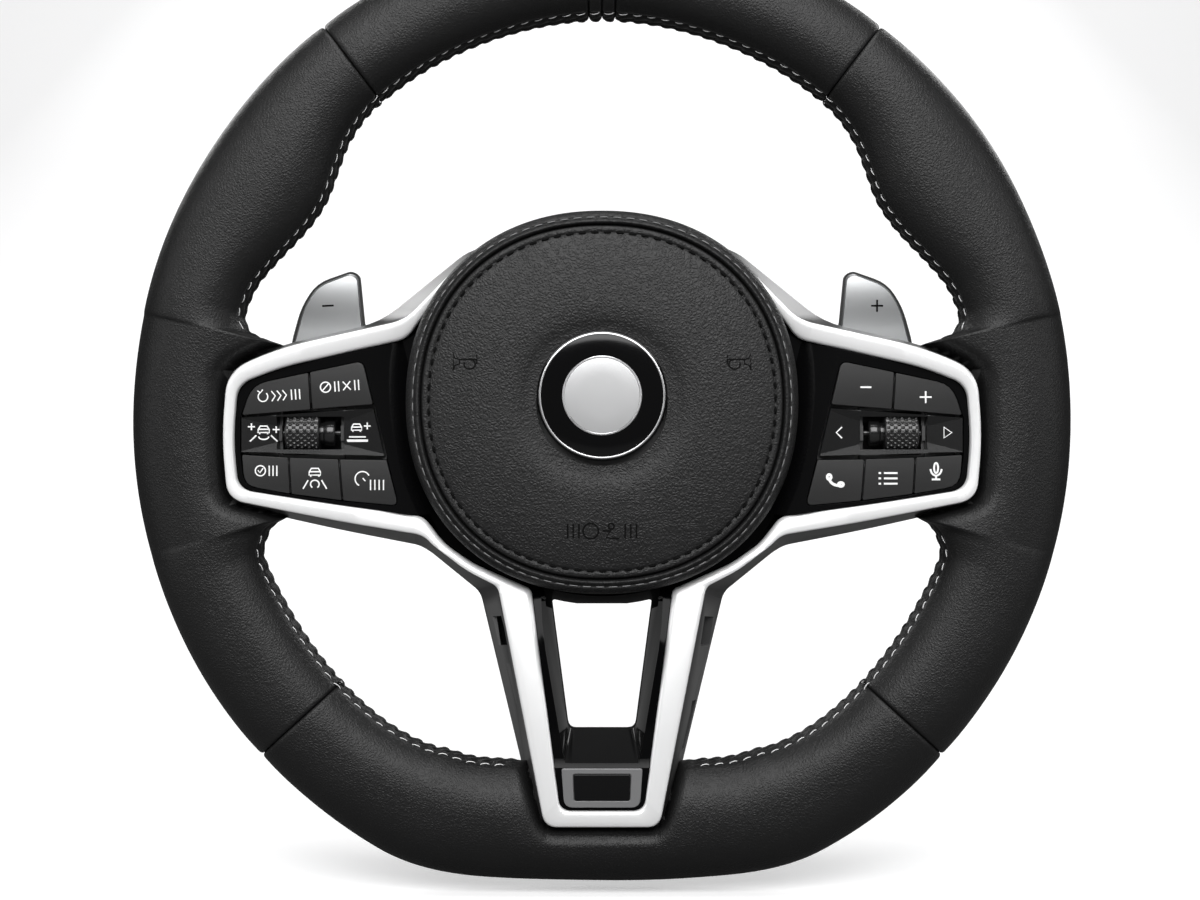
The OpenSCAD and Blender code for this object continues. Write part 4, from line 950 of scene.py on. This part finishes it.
class WHEEL_OT_emblem(bpy.types.Operator):
    """Makes the round badge: gloss black between two bright rings, with a plain disc in its middle"""

    bl_idname = "wheel.emblem"
    bl_label = "Round badge"

    def execute(self, context):
        pieces = (
            ("emblem_black", "gloss_black", "gloss", ["emblem_disc"],
             [(0.02, -74), (25.5, -74), (25.5, -75.9), (25.2, -76.45), (24.4, -76.6), (18, -76.9), (15.4, -77.0),
              (0.02, -77.0)]),
            ("emblem_outer_ring", "bright_trim", "steel", ["emblem_ring"],
             [(23.9, -75.8), (24.75, -75.8), (24.75, -76.6), (24.6, -76.85), (24.2, -76.95), (23.9, -76.8)]),
            ("emblem_inner_ring", "bright_trim", "steel", [],
             [(14.7, -76.4), (15.5, -76.4), (15.5, -77.15), (15.3, -77.3), (14.9, -77.3), (14.7, -77.15)]),
            ("emblem_middle", "bright_trim", "roundel", [],
             [(0.02, -76.5), (14.65, -76.5), (14.65, -77.08), (14.2, -77.15), (8, -77.3), (0.02, -77.35)]),
        )
        for name, slot, kind, replaced, profile in pieces:
            own(turned_piece(name, profile), MODULE, kind, replaced)
        return {"FINISHED"}


def dish_depth(x, z):
    """Depth of the trim's front at a point, which follows its distance from the hub axis."""
    return np.interp(np.hypot(x, z), DISH[:, 0], DISH[:, 1])


class WHEEL_OT_trim(bpy.types.Operator):
    """Makes the bright band round the clusters and down the lower spoke, with the flared housing behind it"""

    bl_idname = "wheel.trim"
    bl_label = "Bright trim and housing"

    def execute(self, context):
        outer = outline(both_sides(TRIM_OUTER), 12, closed=False)
        inner = outline(both_sides(TRIM_INNER), 12, closed=False)
        section = np.array([
            (0, 2.8), (1, 2.8), (1, 1.3), (0.985, 0.95), (0.95, 0.62), (0.88, 0.26), (0.8, 0.12), (0.6, 0.0),
            (0.35, 0.0), (0.12, 0.1), (0.05, 0.3), (0.012, 0.62), (0, 1.0),
        ])
        q, y = section[:, 0][None, :, None], section[:, 1][None]
        flat = outer[:, None] * (1 - q) + inner[:, None] * q
        depth = dish_depth(flat[..., 0], flat[..., 1]) + y
        trim = band("trim_band", np.stack([flat[..., 0], depth, flat[..., 1]], -1), closed=False, sharp=38)
        own(trim, WHEEL, "trim", ["trim_frame"])
        refined("spoke_housing", WHEEL, "dark_plastic", "housing", 0.25, 30)
        refined("spoke_back_plate", WHEEL, "dark_plastic", "back plate", 0.3)
        refined("lower_spoke_insert", WHEEL, "gloss_black", "deep gloss", 0.35, 24)
        refined("badge_plate", WHEEL, "grey_plastic", "grey", 0.3)
        refined("badge", WHEEL, "gloss_black", "gloss", 0.3)
        return {"FINISHED"}


# Height of each key's middle line
KEYS = {
    "button_left_top_outer": 0, "button_left_top_inner": 4, "button_left_low_outer": -30,
    "button_left_low_middle": -32, "button_left_low_inner": -34, "button_right_top_outer": 0,
    "button_right_top_inner": 4, "button_right_low_outer": -30, "button_right_low_middle": -32,
    "button_right_low_inner": -34,
}


class WHEEL_OT_clusters(bpy.types.Operator):
    """Finishes the bezels, keys, rockers and knurled wheels of both switch clusters"""

    bl_idname = "wheel.clusters"
    bl_label = "Switch clusters"

    def execute(self, context):
        bars = np.array([
            [(-114.9, -4.2), (-115.75, 8.4)], [(-123.8, -24.9), (-123.05, -37.8)],
            [(-103.9, -25.6), (-102.65, -40.4)],
        ])
        share = np.linspace(0, 1, 7)[None, :, None]
        flat = bars[:, :1] * (1 - share) + bars[:, 1:] * share
        for side, turn, yoke_body in (("left", 1, WHEEL), ("right", -1, "wheel_yoke_right_slider")):
            refined("bezel_" + side, WHEEL, "gloss_black", "gloss", 0.35, 20)
            own(rocker_piece("rocker_%s_skin" % side, turn), "rocker_%s_key" % side, "rocker",
                ["rocker_" + side])
            lines = np.stack([flat[..., 0] * turn, -66.7 + 0 * flat[..., 0], flat[..., 1]], -1)
            own(many_tubes("key_bars_" + side, lines, 0.3, 8), WHEEL, "gloss")
            refined("wheel_yoke_" + side, yoke_body, "dark_plastic", "housing", 0.15)
            refined("switch_carrier_" + side, WHEEL, "dark_plastic", "housing", 0.15)
            refined("circuit_board_" + side, WHEEL, "board", "board", 0.1)
            self.knurled_wheel(side, turn)
        for node in KEYS:
            refined(node, node + "_key", "key_plastic", "key", 0.45, 30)
        return {"FINISHED"}

    def knurled_wheel(self, side, turn):
        """A roller with rows of small pyramids, with round bands, a smooth collar and an axle: its radius
        follows a profile, plus the product of a wave along it and a wave round it."""
        profile = np.array([
            (0, 0.02), (0.02, 1.3), (1.3, 1.3), (1.302, 6.7), (1.6, 7.4), (2.1, 7.7), (14.3, 7.7), (14.8, 7.4),
            (15.1, 6.7), (15.12, 4.6), (16.3, 4.6), (16.32, 4.8), (16.8, 5.2), (20.4, 5.2), (20.8, 4.8),
            (20.9, 4.4), (20.92, 1.3), (22.6, 1.3), (22.62, 0.02),
        ])
        start, stop, pitch, rows = 2.2, 14.2, 2.9, 22
        x = np.unique(np.concatenate([profile[:, 0], np.linspace(start, stop, 84)]))
        xx, aa = np.meshgrid(x, np.linspace(0, 2 * np.pi, 352, endpoint=False), indexing="ij")
        dots = np.maximum(np.cos(2 * np.pi * (xx - start) / pitch) * np.cos(rows * aa), 0) ** 0.8
        knurled = (xx > start) & (xx < stop)
        radius = np.interp(xx, profile[:, 0], profile[:, 1]) + np.where(knurled, 0.5 * dots, 0)
        y, z = AXIS_Y + radius * np.cos(aa), AXIS_Z + radius * np.sin(aa)
        p = np.stack([-turn * (ROLLER_END - xx), y, z], -1)
        obj = band("knurled_wheel_" + side, p, closed=False, sharp=50)
        own(obj, "thumbwheel_%s_roller" % side, "roller", ["thumbwheel_" + side])


class WHEEL_OT_signs(bpy.types.Operator):
    """Prints plain symbols on the keys, rockers and paddles"""

    bl_idname = "wheel.signs"
    bl_label = "Signs"

    def execute(self, context):
        def on_key(name, x, z, strokes, **more):
            body = "button_" + name
            add_sign("sign_" + name, body + "_key", strokes, (x, z), key_face(KEYS[body]), **more)

        limit = [ring_line(-6.4, 0, 1.9, 1.9, 120, 400), line((-8.3, 2.4), (-7.3, 1.6), (-6.4, 2.7))]
        limit += [line((x, 1.9), (x + 1.4, 0), (x, -1.9)) for x in (-2.9, -0.7, 1.5)]
        on_key("left_top_outer", -127.5, 0.3, limit + ticks((4.9, 6.5, 8.1)), tilt=4)
        cancel = [ring_line(-5.6, 0, 2, 2, 0, 360, 28), line((-7, -1.4), (-4.2, 1.4)), *ticks((-1.9, -0.4))]
        cancel += [line((1.4, -1.6), (4.2, 1.6)), line((1.4, 1.6), (4.2, -1.6)), *ticks((6, 7.5))]
        on_key("left_top_inner", -103.6, 4.0, cancel, tilt=4)
        resume = [ring_line(-2.3, 0, 2, 2, 0, 360, 28), line((-3.2, 0.1), (-2.5, -0.8), (-1.3, 0.9))]
        on_key("left_low_outer", -132.6, -29.4, resume + ticks((1.2, 2.7, 4.2)))
        lane = [line((-4.6, -4), (-2.7, -0.8)), line((4.6, -4), (2.7, -0.8)),
                ring_line(0, -2.3, 1.7, 1.6, -50, 230)]
        on_key("left_low_middle", -113.4, -32.4, car_sign(0, 2.0, 1.15) + lane, width=0.55)
        mode = [ring_line(-2.6, 1.0, 2.9, 2.9, 30, 240), line((-2.4, 1.2), (-1.5, 0.2))]
        on_key("left_low_inner", -92.0, -33.6, mode + [t + (0, -1.4) for t in ticks((0.6, 2.3, 4.0, 5.7))])
        on_key("right_top_inner", 104.2, 3.6, [line((-2, 0), (2, 0))], width=0.65)
        on_key("right_top_outer", 127.8, -0.3, plus_sign(0, 0, 2.2), width=0.65)
        handset = [ring_line(0.4, 0.4, 3.9, 3.9, 195, 285, 12), ring_line(-3.2, -0.2, 0.75, 1.0, 0, 360, 14),
                   ring_line(1.4, -3.1, 1.0, 0.75, 0, 360, 14)]
        on_key("right_low_inner", 92.9, -31.7, handset, width=1.1)
        rows = [line((a, k), (b, k)) for a, b in ((-1.4, 3.6), (-3.5, -2.9)) for k in (-2.1, 0, 2.1)]
        on_key("right_low_middle", 112.9, -32.4, rows, width=0.75)
        microphone = [ring_line(0, 1.3, 0.8, 2.0, 0, 360), ring_line(0, 1.2, 2.2, 2.9, 190, 350),
                      line((0, -1.8), (0, -3.2)), line((-1.5, -3.2), (1.5, -3.2))]
        on_key("right_low_outer", 131.9, -29.6, microphone, width=0.75)
        road = [line((-5.2, -3.4), (-2.9, -1.2)), line((5.2, -3.4), (2.9, -1.2)),
                ring_line(0, -1.7, 1.9, 1.0, 180, 360)]
        nearer = car_sign(0, 0.7, 1.1) + road + plus_sign(-4.7, 2.3, 1.2) + plus_sign(4.8, 1.2, 1.2)
        ahead = [line((-3.6, -1.7), (3.0, -1.7)), line((-4.4, -3), (3.9, -3)), line((-4.2, -3.4), (3.8, -3.4))]
        faster = car_sign(-0.6, 1.6, 1.05) + ahead + plus_sign(3.7, 2.6, 1.2)
        back = line((1.0, 2.1), (-1.2, 0), (1.0, -2.1))
        onward = line((-1.2, 2.1), (1.8, 0), (-1.2, -2.1), (-1.2, 2.1))
        on_rocker = (("left", "outer", -134.0, nearer), ("left", "inner", -96.6, faster),
                     ("right", "inner", 93.9, [back]), ("right", "outer", 136.6, [onward]))
        for side, place, x, strokes in on_rocker:
            add_sign("sign_rocker_%s_%s" % (side, place), "rocker_%s_key" % side, strokes, (x, -14.3),
                     rocker_face, 0.55)
        for side, x, strokes in (("left", -113.2, [line((-2.2, -0.1), (2.2, 0.1))]),
                                 ("right", 113.7, plus_sign(0, 0, 2.3))):
            add_sign("sign_paddle_" + side, "paddle_%s_lever" % side, strokes, (x, 38.4), paddle_front, 0.75,
                     0.08, kind="gloss", slot="gloss_black")
        return {"FINISHED"}


def paddle_front(x, z):
    """Depth of a paddle's bright face: flat behind the spoke, swelling above it, falling back at the tip."""
    tip = np.maximum(z - 36, 0) / 16
    return -34.5 - 0.8 * smooth((z - 28.5) / 20) + 0.75 * tip ** 2 + 0.3 * ((np.abs(x) - 116) / 16) ** 2


class WHEEL_OT_paddles(bpy.types.Operator):
    """Finishes the shift paddles with their bright faces, pins and brackets"""

    bl_idname = "wheel.paddles"
    bl_label = "Shift paddles"

    def execute(self, context):
        for side, turn in (("left", 1), ("right", -1)):
            lever = "paddle_%s_lever" % side
            refined("paddle_" + side, lever, "gloss_black", "key", 0.6)
            path = outline(PADDLE_FACE, 10) * (turn, 1)
            own(plate("paddle_face_%s_skin" % side, path, paddle_front, -33.3), lever,
                "paddle face", ["paddle_face_" + side])
            refined("paddle_pin_" + side, WHEEL, "steel", "steel", 0.3)
            refined("paddle_bracket_" + side, WHEEL, "grey_plastic", "housing", 0.3)
        return {"FINISHED"}


class WHEEL_OT_hub(bpy.types.Operator):
    """Finishes the casting, the rear bowl, its screws and the parts behind the airbag cover"""

    bl_idname = "wheel.hub"
    bl_label = "Hub and rear side"

    def execute(self, context):
        pieces = (
            ("armature", WHEEL, "cast_magnesium", "casting", 0.4),
            ("hub_insert", WHEEL, "steel", "steel", 0.3),
            ("rear_cover", WHEEL, "dark_plastic", "housing", 0.4),
            ("cover_screws", WHEEL, "steel", "steel", 0.12),
            ("harness_connector", WHEEL, "dark_plastic", "key", 0.15),
            ("airbag_can", MODULE, "steel", "steel", 0.2),
            ("airbag_cushion", MODULE, "airbag_fabric", "fabric", 0.8),
            ("gas_generator", MODULE, "steel", "steel", 0.3),
            ("generator_nuts", MODULE, "steel", "steel", 0.15),
            ("horn_pins", MODULE, "steel", "steel", 0.2),
        )
        for piece in pieces:
            refined(*piece)
        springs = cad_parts["horn_springs"]
        springs.data.materials.clear()
        springs.data.materials.append(finish("steel"))
        return {"FINISHED"}


class WHEEL_OT_stage(bpy.types.Operator):
    """Sets the studio: a pale floor, soft lamps, a white surround and the camera in front of the wheel"""

    bl_idname = "wheel.stage"
    bl_label = "Studio"

    def execute(self, context):
        looks = context.scene.wheel_looks
        self.floor(looks)
        self.surround(context.scene)
        for name, place, width, height, power in (
            ("front softbox", (0.0, -1.15, 0.72), 1.4, 0.9, 24),
            ("overhead softbox", (0.0, -0.25, 1.3), 0.8, 0.5, 9),
            ("left softbox", (-1.2, -0.7, 0.3), 0.5, 1.0, 3),
            ("right softbox", (1.2, -0.7, 0.3), 0.5, 1.0, 3),
            ("back left softbox", (-0.75, 0.8, 0.7), 0.5, 0.5, 4),
            ("back right softbox", (0.75, 0.8, 0.7), 0.5, 0.5, 4),
        ):
            self.lamp(name, place, width, height, power)
        data = bpy.data.cameras.new("front camera")
        data.lens = 52.5
        data.sensor_width = 36
        data.dof.use_dof = False
        camera = bpy.data.objects.new("front camera", data)
        camera.location = (-0.0008, -0.758, -0.0212)
        camera.rotation_euler = (math.radians(90), 0, 0)
        context.scene.collection.objects.link(camera)
        context.scene.camera = camera
        context.scene.view_settings.view_transform = "Standard"
        return {"FINISHED"}

    def floor(self, looks):
        """A floor that runs level to the back and then curves up into a wall, over a quarter of a circle."""
        rim_bottom = -192.9
        floor_z = rim_bottom - looks.floor_drop / MM
        radius, wall_y, steps = 500, 700, np.linspace(0.1, np.pi / 2, 12)
        curve = wall_y + radius * np.sin(steps)
        depth = np.concatenate([np.linspace(-1400, wall_y, 20), curve, [1200.0, 1200.0]])
        height = np.concatenate([np.zeros(20), radius * (1 - np.cos(steps)), [900.0, 2200.0]]) + floor_z
        xx, _ = np.meshgrid(np.linspace(-1, 1, 41) * 2600, depth, indexing="ij")
        p = np.stack([xx, np.broadcast_to(depth, xx.shape), np.broadcast_to(height, xx.shape)], -1)
        mesh = bpy.data.meshes.new("studio_floor")
        mesh.from_pydata((p.reshape(-1, 3) * MM).tolist(), [], [f[::-1] for f in grid_faces(*xx.shape)])
        mesh.shade_smooth()
        floor = bpy.data.objects.new("studio_floor", mesh)
        bpy.context.scene.collection.objects.link(floor)
        floor.data.materials.append(self.floor_material(tuple(looks.floor_colour)))

    def surround(self, scene):
        """A dim white surround that looks white to the camera."""
        world = bpy.data.worlds.new("Studio surround")
        scene.world = world
        world.use_nodes = True
        n, link = world.node_tree.nodes, world.node_tree.links.new
        n["Background"].inputs["Color"].default_value = (1, 1, 1, 1)
        n["Background"].inputs["Strength"].default_value = 0.11
        white = n.new("ShaderNodeBackground")
        white.inputs["Strength"].default_value = 0.958
        ray = n.new("ShaderNodeLightPath")
        mix = n.new("ShaderNodeMixShader")
        link(ray.outputs["Is Camera Ray"], mix.inputs["Fac"])
        link(n["Background"].outputs["Background"], mix.inputs[1])
        link(white.outputs["Background"], mix.inputs[2])
        link(mix.outputs["Shader"], n["World Output"].inputs["Surface"])

    def lamp(self, name, place, width, height, power):
        """A soft rectangular lamp that is aimed at the wheel."""
        data = bpy.data.lights.new(name, "AREA")
        data.shape = "RECTANGLE"
        data.size, data.size_y, data.energy = width, height, power
        obj = bpy.data.objects.new(name, data)
        obj.location = place
        obj.rotation_euler = (-Vector(place)).to_track_quat("-Z", "Y").to_euler()
        bpy.context.scene.collection.objects.link(obj)

    def floor_material(self, colour):
        """Pale floor that looks white to the camera and dim to all other rays."""
        m = bpy.data.materials.new("Pale floor")
        m.use_nodes = True
        n, link = m.node_tree.nodes, m.node_tree.links.new
        shader = n["Principled BSDF"]
        shader.inputs["Roughness"].default_value = 0.7
        waves = noise(m.node_tree, n.new("ShaderNodeTexCoord"), 3)
        lighter = tuple(min(c * 1.02, 1) for c in colour)
        link(blended(m.node_tree, colour, lighter, waves.outputs["Fac"]), shader.inputs["Base Color"])
        glow = n.new("ShaderNodeEmission")
        glow.inputs["Color"].default_value = (1, 1, 1, 1)
        glow.inputs["Strength"].default_value = 0.34
        both = n.new("ShaderNodeAddShader")
        link(shader.outputs["BSDF"], both.inputs[0])
        link(glow.outputs["Emission"], both.inputs[1])
        ray = n.new("ShaderNodeLightPath")
        seen = n.new("ShaderNodeMixShader")
        link(ray.outputs["Is Camera Ray"], seen.inputs["Fac"])
        dim = n.new("ShaderNodeBsdfDiffuse")
        dim.inputs["Color"].default_value = (0.16, 0.16, 0.16, 1)
        link(dim.outputs["BSDF"], seen.inputs[1])
        link(both.outputs["Shader"], seen.inputs[2])
        link(seen.outputs["Shader"], n["Material Output"].inputs["Surface"])
        return m


class WHEEL_PT_sidebar(bpy.types.Panel):
    """Lists the wheel's sizes, colours and pieces"""

    bl_idname = "WHEEL_PT_sidebar"
    bl_label = "Steering wheel"
    bl_space_type = "VIEW_3D"
    bl_region_type = "UI"
    bl_category = "Wheel"

    def draw(self, context):
        looks = context.scene.wheel_looks
        for field in ("leather_colour", "trim_colour", "floor_colour", "floor_drop"):
            self.layout.prop(looks, field)
        for operator in STEPS:
            self.layout.operator(operator.bl_idname)


STEPS = (WHEEL_OT_rim, WHEEL_OT_cover, WHEEL_OT_emblem, WHEEL_OT_trim, WHEEL_OT_clusters, WHEEL_OT_signs,
         WHEEL_OT_paddles, WHEEL_OT_hub, WHEEL_OT_stage)


def register():
    for cls in (WheelLooks, *STEPS, WHEEL_PT_sidebar):
        bpy.utils.register_class(cls)
    bpy.types.Scene.wheel_looks = bpy.props.PointerProperty(type=WheelLooks)


def unregister():
    del bpy.types.Scene.wheel_looks
    for cls in reversed((WheelLooks, *STEPS, WHEEL_PT_sidebar)):
        bpy.utils.unregister_class(cls)


def main():
    register()
    bpy.ops.wheel.rim()
    bpy.ops.wheel.cover()
    bpy.ops.wheel.emblem()
    bpy.ops.wheel.trim()
    bpy.ops.wheel.clusters()
    bpy.ops.wheel.signs()
    bpy.ops.wheel.paddles()
    bpy.ops.wheel.hub()
    bpy.ops.wheel.stage()


if __name__ == "__main__":
    main()
